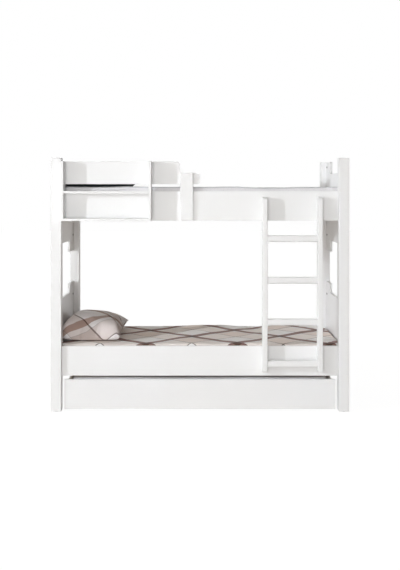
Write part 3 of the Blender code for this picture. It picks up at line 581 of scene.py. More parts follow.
def slat_tree():
    """A row of slats, each with its own random number for the pine."""
    numbers = ("Slat Width", "Slat Thickness", "Slat Length", "Rounding")
    tree, get = new_tree("slats_in_a_row", numbers, vectors=("Pitch", "First"), counts=("Count",))
    section = rounded_bar(tree, get["Slat Width"], get["Slat Thickness"], get["Rounding"], 3)
    half = calculate(tree, "MULTIPLY", get["Slat Length"], 0.5)
    ends = [vector_of(tree, y=calculate(tree, "MULTIPLY", half, sign)) for sign in (-1.0, 1.0)]
    across = put(tree, "GeometryNodeCurvePrimitiveLine", {"Start": ends[0], "End": ends[1]}).outputs[0]
    finer = put(tree, "GeometryNodeResampleCurve", {"Curve": across, "Count": 13}).outputs[0]
    sockets = {"Count": get["Count"], "Start Location": get["First"], "Offset": get["Pitch"]}
    line = put(tree, "GeometryNodeMeshLine", sockets).outputs[0]
    row = set_on(tree, line, sweep(tree, finer, section, capped=True))
    sockets = {"Min": 0.0, "Max": 1.0, "Seed": BOARD_SEED}
    random = put(tree, "FunctionNodeRandomValue", sockets, data_type="FLOAT")
    number = next(o for o in random.outputs if o.type == "VALUE" and o.enabled)
    sockets = {"Geometry": row, "Name": "board_number", "Value": number}
    marked = put(tree, "GeometryNodeStoreNamedAttribute", sockets, data_type="FLOAT", domain="INSTANCE")
    return end_tree(tree, get, marked.outputs[0])


def strip_tree():
    """A flat strip with rounded edges along the start mesh's edges."""
    tree, get = new_tree("strip_along_a_line", ("Strip Width", "Strip Thickness"))
    radius = calculate(tree, "MULTIPLY", get["Strip Thickness"], 0.4)
    section = rounded_bar(tree, get["Strip Width"], get["Strip Thickness"], radius, 2)
    strip = sweep(tree, as_curve(tree, get["Geometry"]), section, capped=True)
    return end_tree(tree, get, strip)


def staple_tree():
    """A closed loop of wire that stands in each point, half above it and half below."""
    tree, get = new_tree("wire_staples", ("Wire", "Span", "Leg"))
    loop = rounded_bar(tree, get["Span"], get["Leg"], get["Wire"], 2)
    sockets = {"Geometry": loop, "Rotation": (math.radians(90), 0.0, 0.0)}
    upright = put(tree, "GeometryNodeTransform", sockets).outputs[0]
    sockets = {"Radius": calculate(tree, "MULTIPLY", get["Wire"], 0.5), "Resolution": 6}
    ring = put(tree, "GeometryNodeCurvePrimitiveCircle", sockets).outputs[0]
    return end_tree(tree, get, set_on(tree, get["Geometry"], sweep(tree, upright, ring)))


SLATS, STRIP, STAPLES = slat_tree(), strip_tree(), staple_tree()
print("trees made:", [t.name for t in bpy.data.node_groups])

# %% Lay both slat bases
SLAT_COUNT, SLAT_WIDTH, SLAT_THICKNESS, SLAT_ROUNDING = 13, 0.070, 0.018, 0.0035
TAPE_WIDTH, TAPE_THICKNESS, TAPE_SPREAD = 0.035, 0.002, 0.560
TAPE_SHORTER = 0.006  # at each end of the base
STAPLE = {"Wire": 0.0012, "Span": 0.011, "Leg": 0.005, "Finish": ZINC}
STAPLE_ASIDE, STAPLE_RISE = 0.018, 0.0004  # from the slat's middle, and over the tape's underside


def lay_slat_base(level):
    """Slats on two tapes, with two staples at every crossing."""
    low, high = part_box(level + "_slat_base")
    middle_y = (low.y + high.y) / 2
    first_x, last_x = low.x + SLAT_WIDTH / 2, high.x - SLAT_WIDTH / 2
    pitch = (last_x - first_x) / (SLAT_COUNT - 1)
    slats = grow(level + "_slats", SLATS, points_mesh("slats", [(0, 0, 0)]), {
        "Slat Width": SLAT_WIDTH, "Slat Thickness": SLAT_THICKNESS, "Slat Length": high.y - low.y,
        "Rounding": SLAT_ROUNDING, "Pitch": (pitch, 0.0, 0.0), "Count": SLAT_COUNT,
        "First": (first_x, middle_y, high.z - SLAT_THICKNESS / 2), "Finish": PINE_ACROSS})
    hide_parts(level + "_slat_base")
    rows = [middle_y - TAPE_SPREAD / 2, middle_y + TAPE_SPREAD / 2]
    ends = [low.x + TAPE_SHORTER, high.x - TAPE_SHORTER]
    lines = bpy.data.meshes.new("tapes")
    lines.from_pydata([(x, y, low.z + TAPE_THICKNESS / 2) for y in rows for x in ends], [(0, 1), (2, 3)], [])
    tapes = grow(level + "_slat_tapes", STRIP, lines,
                 {"Strip Width": TAPE_WIDTH, "Strip Thickness": TAPE_THICKNESS, "Finish": TAPE})
    crossings = [(first_x + i * pitch, y) for y in rows for i in range(SLAT_COUNT)]
    asides = (-STAPLE_ASIDE, STAPLE_ASIDE)
    spots = [(x + aside, y, low.z + STAPLE_RISE) for x, y in crossings for aside in asides]
    staples = grow(level + "_slat_staples", STAPLES, points_mesh("staples", spots), STAPLE)
    for piece, slot in ((slats, "pale_pine"), (tapes, "white_ticking"), (staples, "zinc_steel")):
        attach(piece, "bed")
    print(level, "slat base", [triangles(piece.data) for piece in (slats, tapes, staples)], "triangles")


for level in ("lower", "upper"):
    lay_slat_base(level)

# %% [markdown]
# Mattress forms.
# A mattress is a block of springs or foam in a sewn cover. Its plan has rounded corners, its top and bottom
# edges are soft, its sides bulge between them, and the top is quilted. A rounded cube with subdivision
# would be quick, but quilting and the plaid need a mesh whose points lie on an even grid, with each point's
# place on the flat cloth. So the surface is drawn as a grid over top, sides and bottom, and two rules bend
# it: one rounds the corners in plan, and one draws each row in or out as it goes down the side.

# %% Cloth meshes: their grid, points and flat map
CLOTH_CELL = 0.0105  # the mattresses' grid


def rim_of(columns, rows):
    """A grid's edge points, in order round it."""
    rim = [(i, 0) for i in range(columns)] + [(columns, j) for j in range(rows)]
    return rim + [(i, rows) for i in range(columns, 0, -1)] + [(0, j) for j in range(rows, 0, -1)]


def faces_both_sides(index, upper, lower, columns, rows):
    """A grid's faces on both sides, in pairs, each turned outwards."""
    faces = []
    for j in range(rows):
        for i in range(columns):
            faces.append([index[upper, i + a, j + b] for a, b in ((0, 0), (1, 0), (1, 1), (0, 1))])
            faces.append([index[lower, i + a, j + b] for a, b in ((0, 0), (0, 1), (1, 1), (1, 0))])
    return faces


def corner_points(mesh):
    """The point at each face corner, in the mesh's order."""
    corners = np.zeros(len(mesh.loops), int)
    mesh.loops.foreach_get("vertex_index", corners)
    return corners


def write_map(mesh, places):
    """The cloth's own map: a place in metres on the flat cloth for each face corner."""
    cloth = mesh.uv_layers.new(name="flat_cloth")
    cloth.data.foreach_set("uv", np.asarray(places, np.float32).ravel())


def write_points(mesh, points):
    mesh.vertices.foreach_set("co", np.asarray(points, np.float32).ravel())
    mesh.update()


# %% Where a grid point lies in plan
def plan_place(s, t, half_x, half_y, corner, inset, corner_share):
    """Where a grid point lies in plan. s and t run from -1 to 1; the outer share of each is the corner."""
    result, loose = [], []
    for share, half, whole in ((s, half_x, corner_share[0]), (t, half_y, corner_share[1])):
        straight = 1.0 - whole
        inner = np.minimum(np.abs(share) / straight, 1.0) * (half - corner)
        loose.append(np.clip((np.abs(share) - straight) / whole, 0.0, 1.0))
        result.append(inner)
    u, v = loose
    reach = corner - inset
    x = result[0] + reach * u * np.sqrt(1.0 - v * v / 2.0)
    y = result[1] + reach * v * np.sqrt(1.0 - u * u / 2.0)
    return np.sign(s) * x, np.sign(t) * y


# %% A soft block with a map of its flat cloth
def soft_block(name, half_x, half_y, side_rows, corner):
    """side_rows are (inset, height) pairs from the top edge down. Gives the mesh, its points, their places on
    the flat cloth, and the number of points in a rim and on top, and of rows."""
    nx, ny = 2 * round(half_x / CLOTH_CELL), 2 * round(half_y / CLOTH_CELL)
    corner_cells = max(2, round(corner / CLOTH_CELL))
    corner_share = (corner_cells / (nx / 2), corner_cells / (ny / 2))
    si, ti = np.linspace(-1, 1, nx + 1), np.linspace(-1, 1, ny + 1)
    rim = rim_of(nx, ny)
    points, flat, faces, index = [], [], [], {}

    def add(s, t, inset, height, drop):
        """One point. drop is how far down the side it lies, measured along the cloth."""
        x, y = plan_place(s, t, half_x, half_y, corner, inset, corner_share)
        edge_x, edge_y = plan_place(s, t, half_x, half_y, corner, side_rows[0][0], corner_share)
        out = np.array([x - (half_x - corner) * np.sign(s) if abs(x) > half_x - corner else 0.0,
                        y - (half_y - corner) * np.sign(t) if abs(y) > half_y - corner else 0.0])
        length = np.linalg.norm(out)
        way = out / length if drop > 0 and length > 0 else np.zeros(2)
        points.append((float(x), float(y), height))
        flat.append((float(edge_x + way[0] * drop), float(edge_y + way[1] * drop)))
        return len(points) - 1

    for j, t in enumerate(ti):
        for i, s in enumerate(si):
            index["top", i, j] = add(s, t, *side_rows[0], 0.0)
    drop = 0.0
    rows = [[index["top", i, j] for i, j in rim]]
    for (inset_before, height_before), (inset, height) in zip(side_rows, side_rows[1:]):
        drop += math.hypot(inset - inset_before, height - height_before)
        rows.append([add(si[i], ti[j], inset, height, drop) for i, j in rim])
    for upper, lower in zip(rows, rows[1:]):
        for k in range(len(rim)):
            k_next = (k + 1) % len(rim)
            faces.append((upper[k], lower[k], lower[k_next], upper[k_next]))
    for place, (i, j) in zip(rows[-1], rim):
        index["bottom", i, j] = place
    for j in range(1, ny):
        for i in range(1, nx):
            index["bottom", i, j] = add(si[i], ti[j], *side_rows[-1], 0.0)
    faces += faces_both_sides(index, "top", "bottom", nx, ny)
    mesh = bpy.data.meshes.new(name)
    mesh.from_pydata(points, [], faces)
    facts = {"rim": len(rim), "top": (nx + 1) * (ny + 1), "rows": len(side_rows)}
    return mesh, np.array(points), np.array(flat), facts


# %% [markdown]
# The edge of a mattress is a quarter round at the top and at the bottom, with a side that bulges a few
# millimetres between them. The rows below give that section from the top edge down.

# %% Rows of a mattress side
def side_section(low_z, high_z, edge, bulge, steps=5, straight=7):
    """Quarter round, bulging side, quarter round, as (inset, height) pairs."""
    rows = []
    for k in range(steps + 1):
        turn = math.pi / 2 * k / steps
        rows.append((edge - edge * math.sin(turn) + bulge, high_z - edge + edge * math.cos(turn)))
    for k in range(1, straight):
        share = k / straight
        fall = share * (high_z - low_z - 2 * edge)
        rows.append((bulge - bulge * math.sin(math.pi * share), high_z - edge - fall))
    for k in range(steps + 1):
        turn = math.pi / 2 * k / steps
        rows.append((edge - edge * math.cos(turn) + bulge, low_z + edge - edge * math.sin(turn)))
    return rows


def waves(x, y, terms):
    """A sum of long, low waves: each term is height, the two wave numbers per metre, and a phase."""
    return sum(h * np.sin(2 * math.pi * (fx * x + fy * y) + phase) for h, fx, fy, phase in terms)


# %% [markdown]
# Lower mattress in its plaid cover.
# The lower mattress wears a fitted cover of plaid cotton, drawn tight over the edges. The top isn't flat:
# it sags in shallow waves and hollows of up to about two centimetres, which bend the plaid's lines, and
# near the corners the cover has short creases where its elastic gathers. All of it moves down from the
# CAD's top, never above it.

# %% Hills, hollows and creases of the cover
COVER_SAG = 0.009
COVER_WAVES = [(0.0018, 1.7, -0.8, 1.9), (0.0012, 2.9, 1.6, 0.2), (0.0009, 4.3, -2.2, 2.6)]
COVER_HILLS = [(0.0085, 0.02, 0.42, 0.14, 0.30), (0.006, 0.72, 0.40, 0.24, 0.30),
               (-0.009, 0.40, 0.42, 0.10, 0.24), (-0.006, -0.50, 0.40, 0.22, 0.30),
               (-0.012, 0.95, 0.44, 0.09, 0.12), (0.004, 0.10, -0.36, 0.30, 0.12)]
# Inside the ladder the cloth is drawn down over the near edge. The numbers mean the same as for a hill.
COVER_PULL = (0.017, 0.555, -0.48, 0.12, 0.12)
CREASE_PLACE, CREASE_REACH = 0.13, 0.09  # metres from the corner
CREASE_FAN = 0.5  # radians to each side of the diagonal


def add_hills(heights, x, y, hills):
    """Each smooth hill is its height, its place along and across the bed, and its reach both ways. A height
    below zero makes a hollow."""
    for height, along, across, reach_along, reach_across in hills:
        hill = np.exp(-(((x - along) / reach_along) ** 2 + ((y - across) / reach_across) ** 2))
        heights = heights + height * hill
    return heights


def creases(x, y, half_x, half_y, count, height):
    """Short creases that fan out from each corner."""
    total = np.zeros_like(x)
    for sx in (-1, 1):
        for sy in (-1, 1):
            dx, dy = half_x - sx * x, half_y - sy * y
            away = np.hypot(dx, dy)
            turn = np.arctan2(dy, dx)
            near = np.exp(-((away - CREASE_PLACE) / CREASE_REACH) ** 2)
            fold = np.sin(turn * count + 2.1 * sx + 1.3 * sy) * near
            total += fold * height * np.exp(-((turn - math.pi / 4) / CREASE_FAN) ** 2)
    return total


# %% Make the covered lower mattress
def make_lower_mattress():
    low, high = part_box("lower_mattress")
    half_x, half_y = (high.x - low.x) / 2, (high.y - low.y) / 2
    centre = np.array([(low.x + high.x) / 2, (low.y + high.y) / 2, 0.0])
    rows = side_section(low.z, high.z, edge=0.022, bulge=0.004)
    mesh, points, flat, _ = soft_block("lower_mattress_cover", half_x, half_y, rows, corner=0.085)
    x, y = points[:, 0], points[:, 1]
    height_share = np.clip((points[:, 2] - low.z) / (high.z - low.z), 0, 1)
    sag = add_hills(waves(x, y, COVER_WAVES) - COVER_SAG, x, y, COVER_HILLS)
    sag += creases(x, y, half_x, half_y, count=17, height=0.0022)
    sag = np.minimum(sag, 0.0)
    points[:, 2] += sag * height_share ** 2
    write_points(mesh, points + centre)
    flat[:, 1] = add_hills(flat[:, 1], flat[:, 0], flat[:, 1], [COVER_PULL])
    write_map(mesh, (flat + centre[:2])[corner_points(mesh)])
    mesh.shade_smooth()
    piece = add_piece("lower_mattress_cover", mesh, COVER_PLAID)
    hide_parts("lower_mattress")
    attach(piece, "bed")
    print("lower mattress", triangles(mesh), "triangles, sags by", round(-float(sag.min()), 4), "m")


make_lower_mattress()

# %% [markdown]
# Ticking mattresses.
# The upper bunk and the trundle have bare mattresses in quilted ticking. The quilting is stitched in
# diamonds on the top, and in a zigzag round the border, which shows as a light strip over the upper rail.
# Between stitches the filling swells, so the height falls to the stitch line in a sharp valley and rises in
# a round crown.

# %% Quilting
QUILT_PITCH, QUILT_DEPTH = 0.126, 0.004
ZIGZAG_CELLS = 8.0  # grid cells round the rim to one turn of the zigzag
ZIGZAG_SPAN, ZIGZAG_LOW, VALLEY_REACH = 0.62, 0.19, 0.09  # shares of the side's height


def quilted(points, flat, facts, low, high):
    """Lowers the cloth along diamond stitch lines on top and below, and along a zigzag round the side."""
    top = np.arange(facts["top"])
    side = np.arange(len(top), len(top) + facts["rim"] * (facts["rows"] - 1))
    bottom = np.arange(side[-1] + 1, len(points))
    diagonals = [(flat[:, 0] + flat[:, 1]) / QUILT_PITCH, (flat[:, 0] - flat[:, 1]) / QUILT_PITCH]
    crown = np.abs(np.sin(math.pi * diagonals[0]) * np.sin(math.pi * diagonals[1])) ** 0.4
    dip = QUILT_DEPTH * (1.0 - crown)
    points = points.copy()
    points[top, 2] -= dip[top]
    points[bottom, 2] += dip[bottom]
    around = np.tile(np.arange(facts["rim"]), facts["rows"] - 1)
    share = np.clip((points[side, 2] - low) / (high - low), 0, 1)
    zigzag = np.abs(((around / ZIGZAG_CELLS) % 1.0) * 2.0 - 1.0) * ZIGZAG_SPAN + ZIGZAG_LOW
    inside = np.clip(np.minimum(share, 1 - share) * 8, 0, 1)
    valley = np.exp(-((share - zigzag) / VALLEY_REACH) ** 2) * inside
    plan = points[side, :2]
    straight = np.abs(points[:, :2]).max(axis=0) - 0.08
    out = np.sign(plan) * np.maximum(np.abs(plan) - straight, 0.0)
    out /= np.maximum(np.linalg.norm(out, axis=1, keepdims=True), 1e-9)
    points[side, :2] -= out * (valley * QUILT_DEPTH * 0.9)[:, None]
    return points


# %% Make the ticking mattresses
FOOT_GAP = 0.0005  # the ticking ends this far above the CAD's underside
TOP_PIPING_ROW, FOOT_PIPING_ROW = 2, 5  # rows of the side, counted from the top edge and from the last row


def make_ticking_mattress(level, body, corner, sag_waves, hills=(), proud=0.0):
    """proud is how far the top stands over the CAD's. Gives the two rings of points that carry the piping."""
    low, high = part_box(level + "_mattress")
    high.z += proud
    half_x, half_y = (high.x - low.x) / 2, (high.y - low.y) / 2
    centre = np.array([(low.x + high.x) / 2, (low.y + high.y) / 2, 0.0])
    rows = side_section(low.z + FOOT_GAP, high.z, edge=0.016, bulge=0.003)
    mesh, points, flat, facts = soft_block(level + "_mattress_ticking", half_x, half_y, rows, corner)
    x, y = points[:, 0], points[:, 1]
    share = np.clip((points[:, 2] - low.z) / (high.z - low.z), 0, 1)
    sag = add_hills(waves(x, y, sag_waves), x, y, hills)
    sag -= sag.max()
    points = quilted(points, flat, facts, low.z, high.z)
    points[:, 2] += sag * share
    points += centre
    write_points(mesh, points)
    write_map(mesh, flat[corner_points(mesh)])
    mesh.shade_smooth()
    piece = add_piece(level + "_mattress_ticking", mesh, TICKING)
    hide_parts(level + "_mattress")
    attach(piece, body)
    print(level, "mattress", triangles(mesh), "triangles")
    starts = [facts["top"] + facts["rim"] * row for row in (TOP_PIPING_ROW, facts["rows"] - FOOT_PIPING_ROW)]
    return [points[start:start + facts["rim"]] for start in starts]


upper_rings = make_ticking_mattress(
    "upper", "bed", corner=0.080, sag_waves=[(0.0014, 1.3, 0.4, 0.3), (0.001, 2.7, -0.9, 1.0)],
    hills=[(-0.010, 0.45, -0.30, 0.16, 0.30), (-0.0015, -0.72, -0.42, 0.26, 0.30)])
trundle_rings = make_ticking_mattress(
    "trundle", "trundle", corner=0.035, sag_waves=[(0.001, 1.1, 0.6, 0.9)], proud=0.0015)

# %% [markdown]
# Piping and stitches.
# Where the top panel meets the border, a mattress has a folded tape, sewn down with long stitches. It could
# be modelled into the mattress, but it is its own strip of cloth, so a tree sweeps a round cord along the
# rim, and another lays a short thread along it every few millimetres.

# %% Trees for piping and stitches
def piping_tree():
    """A round cord along the start mesh's loop."""
    tree, get = new_tree("piping_along_a_rim", ("Cord", "Spacing"))
    sockets = {"Curve": as_curve(tree, get["Geometry"]), "Length": get["Spacing"]}
    even = put(tree, "GeometryNodeResampleCurve", sockets, mode="LENGTH").outputs[0]
    ring = put(tree, "GeometryNodeCurvePrimitiveCircle", {"Radius": get["Cord"], "Resolution": 8}).outputs[0]
    return end_tree(tree, get, sweep(tree, even, ring))


def stitch_tree():
    """A short thread at every step along the rim, moved out by an offset and turned along it."""
    tree, get = new_tree("stitches_along_a_rim", ("Spacing", "Stitch", "Thread"), vectors=("Offset",))
    sockets = {"Geometry": as_curve(tree, get["Geometry"]), "Offset": get["Offset"]}
    moved = put(tree, "GeometryNodeSetPosition", sockets).outputs[0]
    sockets = {"Curve": moved, "Length": get["Spacing"]}
    spots = put(tree, "GeometryNodeCurveToPoints", sockets, mode="LENGTH").outputs
    thread = put(tree, "GeometryNodeMeshUVSphere", {"Segments": 6, "Rings": 4, "Radius": 1.0}).outputs[0]
    half = calculate(tree, "MULTIPLY", get["Stitch"], 0.5)
    size = vector_of(tree, get["Thread"], get["Thread"], half)
    laid = set_on(tree, spots["Points"], thread, Rotation=spots["Rotation"], Scale=size)
    return end_tree(tree, get, laid)


PIPING, STITCHES = piping_tree(), stitch_tree()
print("piping and stitch trees made")

# %% Trim the ticking mattresses
PIPING_CORD = {"Cord": 0.0030, "Spacing": 0.012, "Finish": EDGE_TAPE}
SEAM_STITCH = {"Spacing": 0.011, "Stitch": 0.007, "Thread": 0.0007, "Finish": THREAD}
STITCH_OUT = 0.0012
ROUND_SHADING = 80.0  # degrees: cords and threads are smooth all round


def closed_loop(name, points):
    mesh = bpy.data.meshes.new(name)
    edges = [(k, (k + 1) % len(points)) for k in range(len(points))]
    mesh.from_pydata([tuple(p) for p in points], edges, [])
    return mesh


def smoothed(points, rounds):
    """Takes the wrinkles out of a closed loop of points."""
    points = np.array(points, float)
    for _ in range(rounds):
        points = 0.5 * points + 0.25 * (np.roll(points, 1, axis=0) + np.roll(points, -1, axis=0))
    return points


def map_whole(mesh):
    """A flat map by place, for small cloth pieces that no pattern follows."""
    cloth = mesh.uv_layers.new(name="flat_cloth")
    for loop in mesh.loops:
        place = mesh.vertices[loop.vertex_index].co
        cloth.data[loop.index].uv = (place.x + 0.3 * place.z, place.y + 0.7 * place.z)


def trim_mattress(level, rings, body):
    """Piping and stitches along the top edge and the foot."""
    made = []
    for where, up, ring in zip(("top", "foot"), (1.0, -1.0), rings):
        ring = smoothed(ring, 4)
        name = f"{level}_mattress_{where}"
        made.append(grow(name + "_piping", PIPING, closed_loop("rim", ring), PIPING_CORD, ROUND_SHADING))
        seam = smoothed(ring, 2)
        seam[:, 2] += PIPING_CORD["Cord"] * up
        stitch = {**SEAM_STITCH, "Offset": (0.0, 0.0, STITCH_OUT * up)}
        made.append(grow(name + "_stitches", STITCHES, closed_loop("seam", seam), stitch, ROUND_SHADING))
    for piece in made:
        map_whole(piece.data)
        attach(piece, body)
    print(level, "trim", [triangles(p.data) for p in made])


trim_mattress("upper", upper_rings, "bed")
trim_mattress("trundle", trundle_rings, "trundle")

# %% [markdown]
# Pillows.
# A pillow is two flat panels of cloth sewn round the edge and stuffed. Drawing its shape by hand gives a
# lens that looks like a sweet. The cloth knows better: two panels are laid together, sewn at their rim, and
# blown up with Blender's cloth pressure for a few frames, which pulls the sides in between the corners and
# puckers the seam. Then the form is fitted to the place that the CAD gives it, and flattened where it lies
# on the mattress. Lengths measured along the cloth become its map, so the plaid bends with it.

# %% Sew a case
PILLOW_CELL = 0.0115
CASE_RISE = 0.030  # how far the panels start apart


def sewn_case(name, width, depth):
    """Two panels that share their edge. Gives the mesh, its points, both panels' grids and the rim."""
    nx, ny = round(width / PILLOW_CELL), round(depth / PILLOW_CELL)
    points, index = [], {}
    for side in (1, -1):
        for j in range(ny + 1):
            for i in range(nx + 1):
                if side < 0 and (i in (0, nx) or j in (0, ny)):
                    index[side, i, j] = index[1, i, j]
                    continue
                u, v = 2 * i / nx - 1, 2 * j / ny - 1
                rise = math.sqrt((1 - u ** 4) * (1 - v ** 4))
                index[side, i, j] = len(points)
                points.append(((i / nx - 0.5) * width, (j / ny - 0.5) * depth, side * CASE_RISE * rise))
    mesh = bpy.data.meshes.new(name)
    mesh.from_pydata(points, [], faces_both_sides(index, 1, -1, nx, ny))
    grids = []
    for side in (1, -1):
        grids.append(np.array([[index[side, i, j] for i in range(nx + 1)] for j in range(ny + 1)]))
    return mesh, np.array(points), grids, [index[1, i, j] for i, j in rim_of(nx, ny)]


# %% Blow the case up
PILLOW_FRAMES = 26


def blow_up(mesh, pressure, gravity_share):
    """Blows the case up on a table under light gravity, and gives its points. Nothing is random."""
    scene = bpy.context.scene
    table_mesh = bpy.data.meshes.new("table")
    table_mesh.from_pydata([(-2, -2, 0), (2, -2, 0), (2, 2, 0), (-2, 2, 0)], [], [(0, 1, 2, 3)])
    table = add_piece("table", table_mesh)
    table.location.z = -0.1
    table.modifiers.new("stop", "COLLISION")
    table.collision.thickness_outer = 0.002
    table.collision.cloth_friction = 20.0
    piece = add_piece(mesh.name, mesh)
    cloth = piece.modifiers.new("cloth", "CLOTH")
    settings = cloth.settings
    settings.quality = 7
    settings.mass = 0.3
    settings.air_damping = 10.0
    settings.tension_stiffness = settings.compression_stiffness = 60.0
    settings.shear_stiffness = 8.0
    settings.bending_stiffness = 3.0
    settings.use_pressure = True
    settings.uniform_pressure_force = pressure
    settings.effector_weights.gravity = gravity_share
    cloth.collision_settings.use_collision = True
    cloth.collision_settings.distance_min = 0.003
    cloth.point_cache.frame_start = 1
    cloth.point_cache.frame_end = PILLOW_FRAMES
    for step in range(1, PILLOW_FRAMES + 1):
        scene.frame_set(step)
    graph = bpy.context.evaluated_depsgraph_get()
    points = np.array([v.co for v in piece.evaluated_get(graph).data.vertices])
    bpy.data.objects.remove(piece)
    bpy.data.objects.remove(table)
    scene.frame_set(1)
    return points


# %% Measure along the cloth
SLIP_START = 0.03  # the case skews to the left of this place


def lengths_along(place, axis):
    """How far each grid point lies from the grid's first row or column, along the cloth."""
    steps = np.linalg.norm(np.diff(place, axis=axis), axis=2)
    before = [(0, 0), (0, 0)]
    before[axis] = (1, 0)
    return np.pad(np.cumsum(steps, axis=axis), before)


def lie_flat(points, grids, slip):
    """Lengths along the cloth from the upper panel's middle. The lower panel runs on from the near seam."""
    lies = []
    near_seam = None
    for grid in grids:
        rows, columns = grid.shape
        across = lengths_along(points[grid], 1)
        along = lengths_along(points[grid], 0)
        across -= across[:, columns // 2, None]
        if near_seam is None:
            along = along - along[rows // 2]
            near_seam = along[0]
        else:
            along = near_seam - along
        skew = slip * np.maximum(SLIP_START - across, 0.0)
        lie = np.zeros((len(points), 2))
        lie[grid] = np.stack([across + skew, along - skew], axis=2)
        lies.append(lie)
    return lies


# %% Make a pillow in its place
def make_pillow(node, size, material, pose, slip, air):
    """size is the flat case's. slip is how far it has skewed at its left end. air is the cloth's pressure and
    its share of gravity. Gives the rim's points and their places on the flat cloth."""
    low, high = (np.array(c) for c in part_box(node))
    name = node + "_case"
    mesh, flat, grids, rim = sewn_case(name, *size)
    points = blow_up(mesh.copy(), *air)
    spread = points.max(0) - points.min(0)
    placed = pose((points - points.min(0)) / spread * (high - low) + low, low, high)
    write_points(mesh, placed)
    upper, lower = lie_flat(placed, grids, slip)
    corners = corner_points(mesh)
    on_top = (np.arange(len(corners)) // 4) % 2 == 0  # the faces come in pairs, the upper one first
    write_map(mesh, np.where(on_top[:, None], upper[corners], lower[corners]))
    piece = add_piece(name, mesh, material)
    smooth = piece.modifiers.new("finer", "SUBSURF")
    smooth.levels = smooth.render_levels = 1
    finer = plain_copy(piece, name)
    piece.modifiers.clear()
    piece.data = finer
    finer.shade_smooth()
    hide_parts(node)
    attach(piece, "bed")
    print(name, triangles(finer), "triangles, from", placed.min(0).round(3), "to", placed.max(0).round(3))
    return placed[rim], upper[rim]


# %% [markdown]
# The lower pillow leans at the end panel: it is fullest there, slopes down to its far side, has its near
# right corner tucked in, and its near seam has rolled down to the mattress. The upper one lies flat.

# %% Place both pillows
SLOPE, SLOPE_START = 0.8, 0.02  # the share of height lost per metre, beyond this place across the bed
FULLER = ((0.013, 0.26, 0.16, 0.15), (0.022, 0.11, 0.12, 0.10))  # height, place, reach, full from this height
TUCK_ALONG, TUCK_ACROSS = 0.012, 0.028
NEAR_END, NEAR_BLEND = 0.42, 0.26  # shares of the pillow's depth
THIN = 0.10  # near the seam, what is lower than this is squeezed


def slumped(points, low, high):
    """Slopes the far side down, fills the side at the panel, and rolls the near seam down to the mattress."""
    across = (points[:, 0] - low[0]) / (high[0] - low[0])
    deep = (points[:, 1] - low[1]) / (high[1] - low[1])
    rise = points[:, 2] - low[2]
    rise *= 1.0 - SLOPE * np.maximum(points[:, 1] - SLOPE_START, 0.0)
    for height, place, reach, full_from in FULLER:
        rise += height * np.exp(-((across - place) / reach) ** 2) * np.clip(rise / full_from, 0, 1)
    right, front = np.clip(2 * across - 1, 0, 1), np.clip(1 - 2 * deep, 0, 1)
    tuck = (right * front) ** 4
    points[:, 0] -= TUCK_ALONG * tuck
    points[:, 1] += TUCK_ACROSS * tuck
    near = np.clip((NEAR_END - deep) / NEAR_BLEND, 0, 1)
    squeezed = np.where(rise < THIN, rise ** 3 / THIN ** 2, rise)
    rise = rise + (squeezed - rise) * near * near * (3.0 - 2.0 * near)
    points[:, 2] = low[2] + np.clip(rise, 0.0, high[2] - low[2])
    return points


def at_rest(points, low, high):
    """Sinks a little into the mattress along its near side."""
    deep = (points[:, 1] - low[1]) / (high[1] - low[1])
    points[:, 2] -= 0.0012 * np.clip((0.5 - deep) / 0.4, 0, 1)
    return points


lower_seam = make_pillow("lower_pillow", (0.445, 0.715), PILLOW_PLAID, slumped,
                         slip=0.2, air=(14.0, 0.25))
upper_seam = make_pillow("upper_pillow", (0.51, 0.70), NAVY_COTTON, at_rest,
                         slip=0.0, air=(20.0, 0.5))

# %% Sew the pillows' seams
SEAM_CORD = {"Cord": 0.0016, "Spacing": 0.006}


def trim_pillow(name, seam, finish):
    """The cord lies on the flat cloth where the nearest point of the edge does, so its plaid runs on."""
    places, lie = seam
    loop = closed_loop("rim", smoothed(places, 1))
    cord = grow(name + "_seam", PIPING, loop, {**SEAM_CORD, "Finish": finish}, ROUND_SHADING)
    points = [np.array(cord.data.vertices[k].co) for k in corner_points(cord.data)]
    write_map(cord.data, [lie[np.argmin(((places - point) ** 2).sum(1))] for point in points])
    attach(cord, "bed")
    print(name, "seam", triangles(cord.data))


trim_pillow("lower_pillow", lower_seam, PILLOW_PLAID)
trim_pillow("upper_pillow", upper_seam, NAVY_COTTON)

# %% [markdown]
# Fittings.
# The boards are held by bolts, cams and screws, as flat-pack furniture is. A bolt shows as a low round head
# on the inner face of an end panel. A cam shows as a dull round of metal, let into the inner face of a rail
# almost flush. One tree makes any such head: a disc with a crown, a cross cut into it, and its own facing
# at every point. The same tree with other sizes makes the pan heads that hold the wheel brackets, the
# countersunk heads in the ledgers and the caps that cover the shelf's screws.

# %% Tree for round heads with a cross slot
HEAD_SIZES = ("Radius", "Height", "Crown", "Slot Width", "Slot Length", "Slot Depth")


